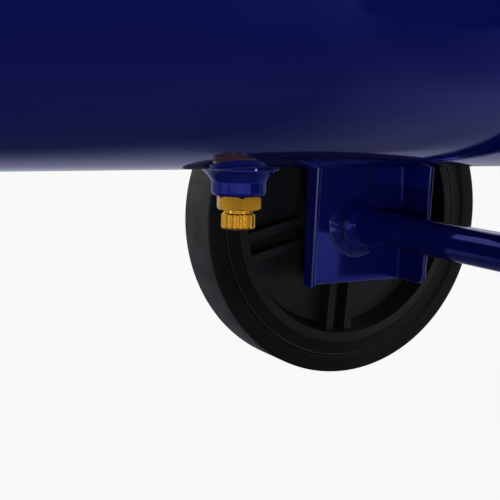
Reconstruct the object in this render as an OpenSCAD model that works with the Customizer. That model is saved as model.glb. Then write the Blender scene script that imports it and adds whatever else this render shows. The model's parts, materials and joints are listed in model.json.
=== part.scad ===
// Wheeled pressure sprayer cart: a horizontal steel tank on two wheels, with a rest foot and a push handle.
// Millimetres. +Z is up, +X points to the wheel end, +Y is to the left of a person who stands at the handle.
// The origin is on the floor, under the middle of the cart's length.

/* [Tank] */
// Outside diameter of the tank
tank_d = 334; // [310:1:350]
// Length of the rolled shell between its two end seams
shell_len = 522; // [500:1:600]
// Thickness of the tank's sheet steel
tank_wall = 3; // [2:0.5:4]
// Height of the tank's belly above the floor
belly_height = 141.7; // [136:0.1:160]
// Straight skirt of a dished end, beside its seam
head_skirt = 12; // [8:1:20]
// Depth of the dish beyond its skirt
head_dish = 73; // [60:1:90]
// Knuckle radius of a dished end
head_knuckle = 45; // [30:1:50]
// Radius of the weld bead on a seam
seam_bead_r = 2.2; // [1:0.1:2.8]

/* [Wheels] */
// Outside diameter of a tyre
wheel_d = 200; // [190:1:210]
// Width of a tyre
tyre_w = 34; // [32:1:44]
// How far short of the tank's diameter the gap between the wheels is
wheel_tuck = 34; // [4:1:38]
// Radius of a tyre's shoulders
shoulder_r = 2; // [1:0.5:6]
// Distance of the groove line in a sidewall in from the tread
groove_inset = 10.7; // [8:0.1:15]
// Depth of the groove line in a sidewall
groove_depth = 0.7; // [0.4:0.1:1]
// Depth of the rubber from the tread to a rim's lip
rubber_depth = 20; // [18:0.5:22]
// Thickness of a rim's lip
rim_lip_t = 3; // [2:0.5:4]
// Step from a rim's lip down to the seat under the tyre
rim_step = 3; // [2.5:0.5:4]
// Width of a rim's face, from its lip in to its mouth
rim_face_w = 5.5; // [5:0.5:7]
// Slope of a rim's draft, from its mouth in to the hub disc
rim_draft = 4.5; // [3:0.5:8]
// Thickness of the hub disc
disc_t = 7; // [4:0.5:10]
// Number of rib pairs on the hub disc
rib_pairs = 5; // [3:1:7]
// Distance between the two ribs of a pair, centre to centre
rib_pitch = 13.5; // [10:0.5:16]
// Thickness of a rib
rib_t = 5; // [3:0.5:6]
// Depth of the ribs' edges below the wheel's face
rib_inset = 3; // [2:0.5:6]
// Outside radius of the hub's ring wall
hub_ring_r = 34; // [30:0.5:38]
// Thickness of the hub's ring wall
hub_ring_t = 4; // [3:0.5:6]
// Outside radius of the hub's sleeve
sleeve_r = 15; // [13:0.5:18]
// Outside radius of a wheel bush
bush_r = 10; // [9:0.5:11]
// Turn of the rib pairs about the axle
rib_turn = 22; // [0:1:71]

/* [Axle] */
// Diameter of the axle rod
axle_d = 12; // [10:0.5:13]
// Outside diameter of the cross tube
cross_tube_d = 20.2; // [18:0.1:24]
// Base radius of a weld flare on a bracket
flare_r = 15.5; // [13:0.5:17]
// Length of a weld flare along the tube
flare_len = 8; // [5:0.5:12]
// Drop of a flare's sagging lobe below the tube's centre
lobe_drop = 7; // [3:0.5:9]
// Base radius of the sagging lobe
lobe_r = 16.5; // [14:0.5:18]
// Outside diameter of an axle washer
washer_d = 24; // [20:1:30]
// Thickness of a washer outside a wheel
outer_washer_t = 2; // [1:0.5:3]
// Outside diameter of an axle cap
axle_cap_d = 24; // [20:1:28]
// Length of an axle cap
axle_cap_len = 10; // [8:0.5:14]

/* [Wheel brackets] */
// Thickness of the folded sheet
sheet_t = 3; // [2:0.5:4]
// Width of a bracket across its flanges
bracket_w = 75; // [60:1:80]
// Depth of the deep flange at its foot, on the wheel end side
deep_flange = 27.5; // [20:0.5:40]
// Depth of the shallow flange at its foot
shallow_flange = 12.5; // [9:0.1:20]
// Lean of the flanges' free edges, which makes both flanges deeper towards the tank
flange_lean = 2.5; // [0:0.5:5]
// Inside radius of the folds
fold_r = 2.5; // [1:0.5:4]
// Distance from the axle's centre down to a bracket's bottom edge
bracket_drop = 41; // [30:1:50]
// Radius of the deep flange's lower corner
flange_corner_r = 6; // [4:1:14]
// Gap between a bracket and its wheel
bracket_gap = 2; // [1.5:0.5:4]

/* [Drain] */
// Distance from the axle back to the drain, at the tank's middle
drain_back = 161.4; // [150:0.1:200]
// Outside diameter of the drain bung
bung_d = 23; // [21:0.5:26]
// Height of the bung below the belly
bung_h = 11.3; // [9:0.1:16]
// Reach of the bung's flared foot, outwards and upwards
bung_flare = 5.2; // [3:0.1:7]
// Radius of the flare's hollow
flare_hollow_r = 10; // [7:0.5:20]
// Radius of the bung's lower edge
bung_edge_r = 1.8; // [1:0.1:3]
// Diameter of the bung's threaded bore
drain_bore_d = 11.8; // [10:0.1:13]
// Width across the flats of the drain valve's hexagon
drain_hex = 17; // [15:0.5:19]
// Height of that hexagon
drain_hex_h = 5.6; // [4:0.1:8]
// Diameter of the collar under the hexagon
drain_collar_d = 12.4; // [11:0.1:14]
// Height of that collar
drain_collar_h = 1.5; // [1:0.1:4]
// Diameter of the drain knob
knob_d = 14.2; // [13:0.1:20]
// Height of the drain knob
knob_h = 6.6; // [5:0.1:10]
// Number of flutes round the drain knob
knob_flutes = 18; // [12:1:24]
// Diameter of the drain stem
drain_stem_d = 6.3; // [5.5:0.1:7]
// Travel of the drain stem as the knob is unscrewed
drain_travel = 2; // [1:0.1:3]
// Turn of the hexagon about the drain's axis
drain_hex_turn = 10; // [0:1:59]

/* [Rest foot] */
// Distance from the handle end seam in to the foot's centre
foot_inset = 45; // [40:1:80]
// Width of the foot's strip
foot_w = 50; // [40:1:70]
// Outside spread of the foot's two legs
foot_spread = 170; // [120:1:200]
// Outside radius of the foot's bends
foot_bend_r = 14; // [8:1:20]
// Height of a rubber pad
pad_h = 22; // [18:1:30]
// Diameter of a pad at the floor
pad_d = 44; // [40:1:48]
// Distance between the two pads
pad_pitch = 104; // [80:1:110]
// Diameter of a foot bolt
foot_bolt_d = 8; // [6:1:10]

/* [Handle] */
// Distance from the axle to the outermost edge of the grip
handle_reach = 690; // [660:1:760]
// Height of the grip's centre above the floor
grip_height = 640; // [600:1:760]
// Outside diameter of the handle tube
handle_tube_d = 22; // [20:1:25]
// Wall of the handle tube
handle_tube_wall = 2; // [1.5:0.5:3]
// Distance between the centres of the handle's arms
handle_w = 260; // [220:1:290]
// Rake of the arms above the level
handle_rake = 50; // [40:1:60]
// Bend radius where an arm rises
arm_bend_r = 60; // [45:1:80]
// Bend radius at the cross grip
grip_bend_r = 45; // [35:1:55]
// Outside diameter of the grip sleeve
grip_d = 32; // [28:1:38]
// Length of the grip sleeve
grip_len = 150; // [100:1:160]
// Wall of a handle socket
socket_wall = 3; // [2:0.5:4]
// Length of a handle socket
socket_len = 95; // [70:1:120]
// Diameter of a handle screw
handle_screw_d = 8; // [6:1:10]

/* [Filler] */
// Distance from the axle back to the filler
filler_back = 75; // [60:1:100]
// Outside diameter of the filler neck
neck_d = 70; // [60:1:76]
// Wall of the filler neck
neck_wall = 4; // [3:0.5:6]
// Height of the neck above the tank
neck_h = 34; // [28:1:44]
// Diameter of the filler cap over its lobes
cap_d = 92; // [88:1:100]
// Height of the filler cap
cap_h = 27; // [22:1:32]
// Thickness of the cap's top
cap_top_t = 5; // [4:0.5:8]
// Number of finger hollows round the cap
cap_hollows = 8; // [6:1:10]
// Thickness of the cap's gasket
gasket_t = 3; // [2:0.5:4]
// Rise of the cap as it is unscrewed
cap_rise = 6; // [4:0.5:8]

/* [Outlet] */
// Distance from the axle out to the outlet socket
outlet_out = 35; // [20:1:50]
// Outside diameter of the dip tube
dip_d = 14; // [12:0.5:16]
// Gap between the dip tube's end and the tank's floor
dip_gap = 14; // [8:1:30]
// Outside diameter of the outlet elbow's bend
elbow_d = 24; // [22:0.5:28]
// Bend radius of the outlet elbow
elbow_bend_r = 18; // [15:0.5:24]
// Width across the flats of the ball valve's ends
valve_hex = 27; // [25:0.5:30]
// Diameter of the ball
ball_d = 22; // [20:0.5:24]
// Diameter of the flow bore
flow_d = 13; // [10:0.5:14]
// Diameter of the ball valve's body
valve_body_d = 34; // [32:0.5:38]
// Length of the ball valve's body
valve_body_len = 44; // [40:1:56]
// Diameter of the ball's stem
stem_d = 8; // [7:0.5:9]
// Length of the lever from the stem's centre
lever_len = 92; // [70:1:110]
// Width of the lever
lever_w = 16; // [14:1:22]
// Thickness of the lever
lever_t = 2.5; // [2:0.5:4]
// Height that the lever's blade steps up
lever_step = 9; // [5:1:14]
// Diameter of the hose spigot
hose_spigot_d = 13; // [12:0.5:16]
// Length of the hose spigot
hose_spigot_len = 28; // [20:1:40]

/* [Gauge and air inlet] */
// Distance from the axle back to the fittings block
block_back = 265; // [240:1:290]
// Width of the fittings block
block_w = 28; // [26:1:32]
// Height of the fittings block
block_h = 30; // [26:1:36]
// Diameter of a threaded port in the block
port_d = 13; // [12:0.5:14]
// Outside diameter of the gauge
gauge_d = 52; // [48:1:56]
// Depth of the gauge case
gauge_depth = 24; // [20:1:30]
// Wall of the gauge case
gauge_wall = 1.8; // [1.4:0.1:2.4]
// Length of the gauge needle from its pivot
needle_len = 17; // [14:0.5:18]
// Diameter of the safety valve's barrel
safety_d = 15; // [14:0.5:18]
// Length of the safety valve's barrel
safety_len = 20; // [18:1:28]
// Lift of the safety valve's stem
safety_lift = 3; // [2:0.5:4]
// Radius of the pull ring, to the middle of its wire
pull_ring_r = 10; // [9.5:0.5:12]
// Diameter of the pull ring's wire
pull_wire_d = 1.8; // [1.5:0.1:2]
// Diameter of the air plug's nose
plug_d = 8; // [7.5:0.5:10]
// Length of the air plug beyond its hexagon
plug_len = 24; // [20:1:32]
// Travel of the air inlet's poppet
poppet_travel = 2; // [1:0.5:3]

/* [Clearances] */
// Gap left for weld metal between a welded piece and the tank
weld_gap = 0.2; // [0.1:0.1:0.5]
// Radial gap of a running or screwed fit
run_gap = 0.05; // [0.02:0.01:0.08]
// Radial gap of a pressed piece
press_gap = 0.03; // [0.01:0.01:0.05]
// Radial gap of a bolt or rod in its hole
hole_gap = 0.25; // [0.2:0.05:0.5]
// Gap between pieces that move past each other
move_gap = 0.3; // [0.3:0.05:0.5]

/* [Hidden] */
$fn = 64;
eps = 0.01;
// A bend's wall is this much thicker than a straight's, on both faces.
bend_swell = 0.05;
// Length that a straight tube laps into a bend
bend_lap = 0.5;

tank_blue = [0.07, 0.08, 0.42];
brass_gold = [0.82, 0.62, 0.18];
tyre_black = [0.10, 0.10, 0.10];
plastic_black = [0.06, 0.06, 0.06];
steel_grey = [0.62, 0.63, 0.65];
rubber_black = [0.08, 0.08, 0.08];

// Tank
tank_r = tank_d / 2;
head_len = head_skirt + head_dish;
tank_z = belly_height + tank_r;
tank_top_z = tank_z + tank_r;
// The cart's middle lies half way between the grip and the wheel end's tip.
axle_x = (handle_reach + drain_back - shell_len / 2 - head_len) / 2;
tank_x = axle_x - drain_back;
seam_x = [tank_x - shell_len / 2, tank_x + shell_len / 2];
// The crown and the knuckle of a dished end meet without a corner.
knuckle_x = tank_r - head_knuckle;
crown_r = (pow(head_dish, 2) - pow(head_knuckle, 2) + pow(knuckle_x, 2))
    / (2 * (head_dish - head_knuckle));
crown_y = head_len - crown_r;

// Wheels and axle
wheel_r = wheel_d / 2;
wheel_gap = tank_d - wheel_tuck;
groove_ring_r = wheel_r - groove_inset;
rim_lip_r = wheel_r - rubber_depth;
rim_seat_r = rim_lip_r - rim_step;
rim_mouth_r = rim_lip_r - rim_face_w;
disc_r = rim_mouth_r - rim_draft;
axle_z = wheel_r;
axle_r = axle_d / 2;
wheel_y = (wheel_gap + tyre_w) / 2;
web_out_y = wheel_gap / 2 - bracket_gap;
web_in_y = web_out_y - sheet_t;
rod_hole_r = axle_r + hole_gap;
// A washer lies this far off the bracket's web.
washer_play = 0.1;
inner_washer_t = bracket_gap - 2 * hole_gap + washer_play;
outer_washer_y = wheel_gap / 2 + tyre_w + move_gap;
axle_cap_y = outer_washer_y + outer_washer_t + press_gap;
cap_bore_len = axle_cap_len - 4;
axle_cap_dome = 5;
rod_chamfer = 1;
bush_play = 0.1;

// Drain
bung_bottom_z = belly_height - bung_h;
drain_hex_z = bung_bottom_z - drain_hex_h;
drain_collar_z = drain_hex_z - drain_collar_h;
knob_top_z = drain_collar_z - run_gap;
drain_spigot_h = 9;
drain_cone_h = 3;
drain_way_r = 1.5;
// Height of the stem's bore above the hexagon, up to the seat's cone
drain_seat_h = 3;
// Depth that the drain stem is pressed into the knob, short of its bottom
knob_floor = 2;

// Foot
foot_x = seam_x[0] + foot_inset;
foot_leg_y = foot_spread / 2;
foot_top_z = pad_h + sheet_t;
bolt_head_h = 5;
bolt_head_d = 14;
nut_h = 6.5;
nut_flats = 13;

// Handle
handle_r = handle_tube_d / 2;
socket_r = handle_r + hole_gap + socket_wall;
arm_y = handle_w / 2;
arm_reach = tank_r + weld_gap + socket_r;
arm_tilt = asin(arm_y / arm_reach);
arm_z = tank_z + arm_reach * cos(arm_tilt);
grip_x = axle_x - handle_reach + grip_d / 2;
rise_len = (grip_height - arm_z - arm_bend_r * (1 - cos(handle_rake))) / sin(handle_rake);
arm_bend_x = grip_x + arm_bend_r * sin(handle_rake) + rise_len * cos(handle_rake);
socket_x = seam_x[0] + 14;
arm_in_x = socket_x + socket_len - 8;
screw_x = socket_x + socket_len / 2;
screw_flats = 13;

// Filler
filler_x = axle_x - filler_back;
neck_r = neck_d / 2;
neck_top_z = tank_top_z + neck_h;
cap_under_z = neck_top_z + run_gap + gasket_t + press_gap;
cap_top_z = cap_under_z + cap_top_t;
cap_r = cap_d / 2;
cap_bore_r = neck_r + move_gap;

// Outlet
outlet_x = axle_x + outlet_out;
socket_boss_h = 14;
outlet_boss_r = 17;
outlet_thread_r = 10;
boss_thread_len = 10;
outlet_top_z = tank_top_z + socket_boss_h;
dip_r = dip_d / 2;
dip_play = 1;
dip_wall = 1.5;
// The dip tube's top stands this far below the outlet boss's top.
dip_sink = 4;
elbow_hex_h = 9;
elbow_start_z = outlet_top_z + press_gap + elbow_hex_h;
valve_z = elbow_start_z + elbow_bend_r;
valve_start_x = outlet_x + elbow_bend_r;
elbow_thread_len = 10;
valve_in_x = valve_start_x + press_gap;
ball_x = valve_in_x + valve_body_len / 2;
ball_r = ball_d / 2;
flow_r = flow_d / 2;
// Thickness of a seat ring at its bore, and the room behind the ball that it fills
seat_t = 4;
seat_room = 1;
cavity_r = ball_r + 1.5;
// The ball's slot and the stem's tang in it
tang_slot_w = 3;
tang_depth = 3;
stem_tip_r = stem_d / 2 - 2;
stem_r = stem_d / 2;
bonnet_r = stem_r + 4;
bonnet_top_z = valve_z + valve_body_d / 2 + 7;
lever_z = bonnet_top_z + move_gap;
lever_run = 14;
lever_nut_h = 5;
lever_nut_flats = 10;
lever_eye_r = 2.5;

// Gauge, safety valve and air inlet
block_x = axle_x - block_back;
block_boss_r = 15;
block_thread_r = 9;
thread_ledge = 2;
block_hex = 24;
block_hex_h = 8;
cross_way_r = 3;
block_z = tank_top_z + socket_boss_h + press_gap + block_hex_h;
port_z = block_z + block_h / 2;
port_r = port_d / 2;
thread_len = 8;
gauge_r = gauge_d / 2;
gauge_hex = 14;
gauge_hex_h = 7;
gauge_mouth_r = gauge_r - gauge_wall - 1;
bezel_h = 5.5;
pivot_r = 1.2;
gauge_back_x = block_x - block_w / 2 - press_gap - gauge_hex_h;
dial_t = 1;
lens_t = 1.6;
dial_x = gauge_back_x - gauge_depth + 6.5;
lens_x = gauge_back_x - gauge_depth + 1.2;
safety_z = block_z + block_h + press_gap;
safety_hex = 17;
safety_hex_h = 7;
safety_r = safety_d / 2;
safety_floor_z = safety_z + 3;
safety_top_z = safety_z + safety_hex_h + safety_len;
safety_roof_z = safety_top_z - 2.5;
safety_chamber_r = safety_r - 2.5;
safety_disc_r = safety_chamber_r - 0.5;
safety_stem_r = 1.5;
disc_h = 2.5;
eye_r = 3.2;
eye_z = safety_top_z + 7.5;
// The pull ring droops until it all but rests against the barrel's side.
pull_droop = acos((safety_r + pull_wire_d / 2 + 2 * move_gap) / (2 * pull_ring_r));
plug_y = -(block_w / 2 + press_gap);
plug_hex_h = 7;
plug_hex = 15;
plug_bore_r = 1.8;
poppet_r = 2.4;
poppet_len = 7;

// A ring about the Z axis.
module ring(outer_r, inner_r, h) {
    difference() {
        cylinder(r = outer_r, h = h);
        translate([0, 0, -1]) cylinder(r = inner_r, h = h + 2);
    }
}

// A hexagonal prism whose lower and upper corners are turned off, as on a nut.
module hex_prism(flats, h) {
    corner_r = flats / sqrt(3);
    chamfer = 0.12 * flats / 2;
    intersection() {
        cylinder(r = corner_r, h = h, $fn = 6);
        rotate_extrude()
            polygon([
                [0, 0], [corner_r - chamfer, 0], [corner_r, chamfer * 0.6],
                [corner_r, h - chamfer * 0.6], [corner_r - chamfer, h], [0, h]
            ]);
    }
}

// Carries a piece drawn about +Z so that it lies about the X axis, pointing to +X.
module along_x() {
    rotate([0, 90, 0]) children();
}

// Carries a piece drawn about +Z so that it lies about the Y axis, pointing to +Y.
module along_y() {
    rotate([-90, 0, 0]) children();
}

// The space inside the tank's outer surface, widened by a gap.
module tank_space(gap) {
    translate([tank_x, 0, tank_z]) along_x()
        cylinder(r = tank_r + gap, h = shell_len * 2, center = true, $fn = 180);
}

// The two mirrored places on the left and right of the cart.
module both_sides() {
    for (side = [0, 1]) mirror([0, side, 0]) children();
}

// ---- Tank ----

module tank_shell() {
    color(tank_blue) difference() {
        translate([tank_x, 0, tank_z]) along_x()
            cylinder(r = tank_r, h = shell_len, center = true, $fn = 180);
        translate([tank_x, 0, tank_z]) along_x()
            cylinder(r = tank_r - tank_wall, h = shell_len + 2, center = true, $fn = 180);
        translate([filler_x, 0, tank_z]) cylinder(r = neck_r - neck_wall, h = tank_d);
        translate([outlet_x, 0, tank_z]) cylinder(r = dip_r + dip_play, h = tank_d);
        translate([block_x, 0, tank_z]) cylinder(r = block_thread_r - thread_ledge, h = tank_d);
        translate([tank_x, 0, 0]) cylinder(r = drain_bore_d / 2, h = tank_z);
    }
}

// Half of a dished end's outline: x is the radius, y the distance out from the seam.
module head_outline(inset) {
    reach = [knuckle_x, head_skirt - crown_y] * 2;
    translate([0, -inset]) square([tank_r - inset, head_skirt + inset]);
    intersection() {
        translate([0, crown_y]) circle(r = crown_r - inset, $fn = 360);
        polygon([[0, crown_y], [0, crown_y] + reach, [0, crown_y + reach[1]]]);
        translate([0, -inset]) square([tank_r, head_len + inset]);
    }
    intersection() {
        translate([knuckle_x, head_skirt]) circle(r = head_knuckle - inset, $fn = 120);
        translate([0, head_skirt]) square([tank_r, head_dish]);
    }
}

module dished_head() {
    rotate_extrude($fn = 180) {
        difference() {
            head_outline(0);
            head_outline(tank_wall);
        }
        intersection() {
            translate([tank_r, seam_bead_r + 0.3]) circle(r = seam_bead_r, $fn = 32);
            translate([tank_r - tank_wall, 0]) square([tank_wall * 2, head_skirt]);
        }
    }
}

module wheel_end_head() {
    color(tank_blue) translate([seam_x[1], 0, tank_z]) along_x() dished_head();
}

module handle_end_head() {
    color(tank_blue) translate([seam_x[0], 0, tank_z]) rotate([0, -90, 0]) dished_head();
}

// A threaded boss welded on top of the tank.
module top_boss(boss_r, thread_r, h) {
    sink = 6;
    difference() {
        translate([0, 0, tank_top_z - sink]) cylinder(r = boss_r, h = h + sink);
        translate([0, 0, tank_top_z - sink - 1]) cylinder(r = thread_r, h = h + sink + 2);
    }
}

module filler_neck() {
    color(tank_blue) difference() {
        translate([filler_x, 0, 0]) top_boss(neck_r, neck_r - neck_wall, neck_h);
        tank_space(weld_gap);
    }
}

module outlet_socket() {
    color(tank_blue) difference() {
        translate([outlet_x, 0, 0]) top_boss(outlet_boss_r, outlet_thread_r, socket_boss_h);
        tank_space(weld_gap);
    }
}

module gauge_socket() {
    color(tank_blue) difference() {
        translate([block_x, 0, 0]) top_boss(block_boss_r, block_thread_r, socket_boss_h);
        tank_space(weld_gap);
    }
}

// ---- Drain: a flared bung, a hexagon body, a stem and a fluted knob ----

module drain_bung() {
    bung_r = bung_d / 2;
    lip_t = 0.4;
    flare_z = bung_h - bung_flare - lip_t;
    // The hollow's circle runs through the flare's foot and its tip.
    hollow_off = sqrt(pow(flare_hollow_r, 2) - pow(bung_flare, 2) / 2) / sqrt(2);
    color(tank_blue) difference() {
        translate([tank_x, 0, bung_bottom_z]) rotate_extrude() difference() {
            union() {
                translate([0, bung_edge_r]) square([bung_r, bung_h]);
                square([bung_r - bung_edge_r, bung_edge_r * 2]);
                translate([bung_r - bung_edge_r, bung_edge_r]) circle(r = bung_edge_r);
                difference() {
                    translate([0, flare_z]) square([bung_r + bung_flare, bung_flare + lip_t + 1]);
                    translate([bung_r + bung_flare / 2 + hollow_off, flare_z + bung_flare / 2 - hollow_off])
                        circle(r = flare_hollow_r, $fn = 180);
                }
            }
            translate([-bung_r, 0]) square([bung_r, bung_h * 2]);
        }
        translate([tank_x, 0, 0]) cylinder(r = drain_bore_d / 2, h = tank_z);
        tank_space(weld_gap);
    }
}

module drain_valve_body() {
    spigot_r = drain_bore_d / 2 - run_gap;
    stem_bore_r = drain_stem_d / 2 + run_gap;
    color(brass_gold) translate([tank_x, 0, 0]) difference() {
        union() {
            translate([0, 0, drain_collar_z]) cylinder(d = drain_collar_d, h = drain_collar_h + 1);
            translate([0, 0, drain_hex_z]) rotate([0, 0, drain_hex_turn])
                hex_prism(drain_hex, drain_hex_h - press_gap);
            translate([0, 0, drain_hex_z + 1]) cylinder(r = spigot_r, h = drain_hex_h + drain_spigot_h - 1);
        }
        translate([0, 0, drain_collar_z - 1])
            cylinder(r = stem_bore_r, h = drain_collar_h + drain_hex_h + drain_seat_h + 1);
        translate([0, 0, drain_hex_z + drain_hex_h + drain_seat_h - eps])
            cylinder(r1 = stem_bore_r, r2 = drain_way_r, h = drain_cone_h);
        translate([0, 0, drain_hex_z]) cylinder(r = drain_way_r, h = drain_hex_h + drain_spigot_h + 1);
    }
}

module drain_stem() {
    outer_r = drain_stem_d / 2;
    bore_r = 1;
    foot_z = knob_top_z - knob_h + knob_floor;
    shoulder_z = drain_hex_z + drain_hex_h + drain_seat_h - move_gap;
    side_hole_z = knob_top_z + drain_collar_h + 2;
    color(brass_gold) translate([tank_x, 0, 0]) difference() {
        union() {
            translate([0, 0, foot_z]) cylinder(r = outer_r, h = shoulder_z - foot_z);
            translate([0, 0, shoulder_z - eps]) cylinder(r1 = outer_r, r2 = drain_way_r, h = drain_cone_h);
        }
        translate([0, 0, foot_z - 1]) cylinder(r = bore_r, h = side_hole_z + bore_r - foot_z + 1);
        translate([0, 0, side_hole_z]) along_y()
            cylinder(r = bore_r * 0.9, h = drain_stem_d * 2, center = true);
    }
}

module drain_knob() {
    knob_r = knob_d / 2;
    edge = 1.1;
    flute_r = 0.72;
    color(brass_gold) translate([tank_x, 0, knob_top_z - knob_h]) difference() {
        rotate_extrude() {
            translate([0, edge]) square([knob_r, knob_h - 1.5 * edge]);
            square([knob_r - edge, knob_h]);
            translate([knob_r - edge, edge]) circle(r = edge);
            translate([knob_r - edge, knob_h - edge / 2]) circle(r = edge / 2);
        }
        translate([0, 0, knob_floor - press_gap]) cylinder(r = drain_stem_d / 2 + press_gap, h = knob_h);
        translate([0, 0, -1]) cylinder(r = drain_way_r, h = knob_h);
        for (i = [0 : knob_flutes - 1]) rotate([0, 0, (i + 0.5) * 360 / knob_flutes])
            translate([knob_r + flute_r / 5, 0, edge * 0.6]) cylinder(r = flute_r, h = knob_h, $fn = 24);
    }
}

// ---- Wheels: solid tyre, ribbed rim and bush, about the axle's Y axis ----

module tyre_profile() {
    half_w = tyre_w / 2;
    difference() {
        union() {
            translate([rim_lip_r + press_gap, -half_w])
                square([wheel_r - shoulder_r - rim_lip_r - press_gap, tyre_w]);
            translate([rim_lip_r, shoulder_r - half_w])
                square([wheel_r - rim_lip_r, tyre_w - 2 * shoulder_r]);
            translate([rim_seat_r + press_gap, rim_lip_t + press_gap - half_w])
                square([rim_lip_r - rim_seat_r, tyre_w - 2 * (rim_lip_t + press_gap)]);
            for (side = [-1, 1]) translate([wheel_r - shoulder_r, side * (half_w - shoulder_r)])
                circle(r = shoulder_r);
        }
        for (side = [-1, 1]) translate([groove_ring_r, side * half_w]) circle(r = groove_depth, $fn = 24);
    }
}

module tyre() {
    rotate_extrude($fn = 180) tyre_profile();
}

module rim() {
    half_w = tyre_w / 2;
    rib_half = half_w - rib_inset;
    difference() {
        union() {
            rotate_extrude($fn = 180) {
                difference() {
                    polygon([
                        [0, half_w], [0, -half_w], [rim_lip_r, -half_w], [rim_lip_r, rim_lip_t - half_w],
                        [rim_seat_r, rim_lip_t - half_w], [rim_seat_r, half_w - rim_lip_t],
                        [rim_lip_r, half_w - rim_lip_t], [rim_lip_r, half_w]
                    ]);
                    for (side = [-1, 1]) polygon([
                        [-1, side * disc_t / 2], [disc_r, side * disc_t / 2],
                        [rim_mouth_r, side * (half_w + eps)], [-1, side * (half_w + eps)]
                    ]);
                }
            }
            for (i = [0 : rib_pairs - 1]) rotate([0, 0, i * 360 / rib_pairs])
                for (side = [-1, 1])
                    translate([hub_ring_r - hub_ring_t / 2, side * rib_pitch / 2 - rib_t / 2, -rib_half])
                        cube([disc_r + 2.5 - hub_ring_r + hub_ring_t / 2, rib_t, 2 * rib_half]);
            for (i = [0 : rib_pairs - 1]) rotate([0, 0, (i + 0.5) * 360 / rib_pairs])
                translate([bush_r + 1, -rib_t / 2, -rib_half])
                    cube([hub_ring_r - hub_ring_t / 2 - bush_r - 1, rib_t, 2 * rib_half]);
            translate([0, 0, 1 - half_w]) ring(hub_ring_r, hub_ring_r - hub_ring_t, tyre_w - 2);
            translate([0, 0, -half_w]) cylinder(r = sleeve_r, h = tyre_w);
        }
        cylinder(r = bush_r, h = tyre_w * 2, center = true);
    }
}

module bush() {
    translate([0, 0, bush_play - tyre_w / 2])
        ring(bush_r - press_gap, axle_r + run_gap, tyre_w - 2 * bush_play);
}

module at_left_wheel() {
    translate([axle_x, wheel_y, axle_z]) along_y() rotate([0, 0, rib_turn]) children();
}

module left_tyre() {
    color(tyre_black) at_left_wheel() tyre();
}

module left_rim() {
    color(plastic_black) at_left_wheel() rim();
}

module left_bush() {
    color(plastic_black) at_left_wheel() bush();
}

module right_tyre() {
    color(tyre_black) mirror([0, 1, 0]) at_left_wheel() tyre();
}

module right_rim() {
    color(plastic_black) mirror([0, 1, 0]) at_left_wheel() rim();
}

module right_bush() {
    color(plastic_black) mirror([0, 1, 0]) at_left_wheel() bush();
}

// ---- Axle ----

// The concave flare of weld metal round a tube's end. It stands on the web and thins out along the tube.
module weld_flare(base_r, tube_r, length) {
    toe = 0.4;
    spread = base_r - tube_r;
    hollow_r = (pow(spread, 2) + pow(length - toe, 2)) / (2 * spread);
    rotate_extrude() difference() {
        square([base_r, length]);
        translate([tube_r + hollow_r, length]) circle(r = hollow_r, $fn = 180);
    }
}

module cross_tube() {
    tube_r = cross_tube_d / 2;
    color(tank_blue) translate([axle_x, 0, axle_z]) difference() {
        union() {
            along_y() cylinder(r = tube_r, h = 2 * (web_in_y - weld_gap), center = true);
            both_sides() translate([0, web_in_y - weld_gap, 0]) rotate([90, 0, 0]) {
                weld_flare(flare_r, tube_r, flare_len);
                translate([1, -lobe_drop, 0]) weld_flare(lobe_r, tube_r - 3, flare_len * 0.8);
            }
        }
        along_y() cylinder(r = rod_hole_r, h = wheel_gap, center = true);
    }
}

module axle_rod() {
    straight = axle_cap_y + cap_bore_len - 2 * rod_chamfer;
    color(steel_grey) translate([axle_x, 0, axle_z]) both_sides() along_y() {
        cylinder(r = axle_r, h = straight);
        translate([0, 0, straight - eps]) cylinder(r1 = axle_r, r2 = axle_r - rod_chamfer, h = rod_chamfer);
    }
}

module axle_washers() {
    washer_r = washer_d / 2;
    color(steel_grey) translate([axle_x, 0, axle_z]) both_sides() {
        translate([0, web_out_y + washer_play, 0]) along_y() ring(washer_r, rod_hole_r, inner_washer_t);
        translate([0, outer_washer_y, 0]) along_y() ring(washer_r, rod_hole_r, outer_washer_t);
    }
}

module axle_caps() {
    cap_rad = axle_cap_d / 2;
    skirt = axle_cap_len - axle_cap_dome;
    dome_r = (pow(cap_rad, 2) + pow(axle_cap_dome, 2)) / (2 * axle_cap_dome);
    color(steel_grey) translate([axle_x, 0, axle_z]) both_sides() translate([0, axle_cap_y, 0]) along_y()
        difference() {
            rotate_extrude() {
                square([cap_rad, skirt]);
                intersection() {
                    translate([0, axle_cap_len - dome_r]) circle(r = dome_r);
                    square([cap_rad, axle_cap_len]);
                }
            }
            translate([0, 0, -1]) cylinder(r = axle_r + press_gap, h = cap_bore_len + 1);
        }
}

// ---- Wheel brackets: folded sheet with one deep and one shallow flange ----

// A quarter bend of the sheet. Its corner square has its outer corner at the origin.
module fold(quadrant) {
    outer_r = fold_r + sheet_t;
    mirror([quadrant, 0]) intersection() {
        translate([outer_r, -outer_r]) difference() {
            circle(r = outer_r);
            circle(r = fold_r);
        }
        translate([0, -outer_r]) square(outer_r);
    }
}

// Plan of a bracket whose flanges are deeper by grown than at their foot: x along the cart, y outwards, with
// the web's outer face at y = 0.
module bracket_plan(grown) {
    outer_r = fold_r + sheet_t;
    half = bracket_w / 2;
    translate([outer_r - half, -sheet_t]) square([bracket_w - 2 * outer_r, sheet_t]);
    translate([-half, 0]) fold(0);
    translate([half, 0]) fold(1);
    translate([-half, -shallow_flange - grown]) square([sheet_t, shallow_flange + grown - outer_r]);
    translate([half - sheet_t, -deep_flange - grown]) square([sheet_t, deep_flange + grown - outer_r]);
}

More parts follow.
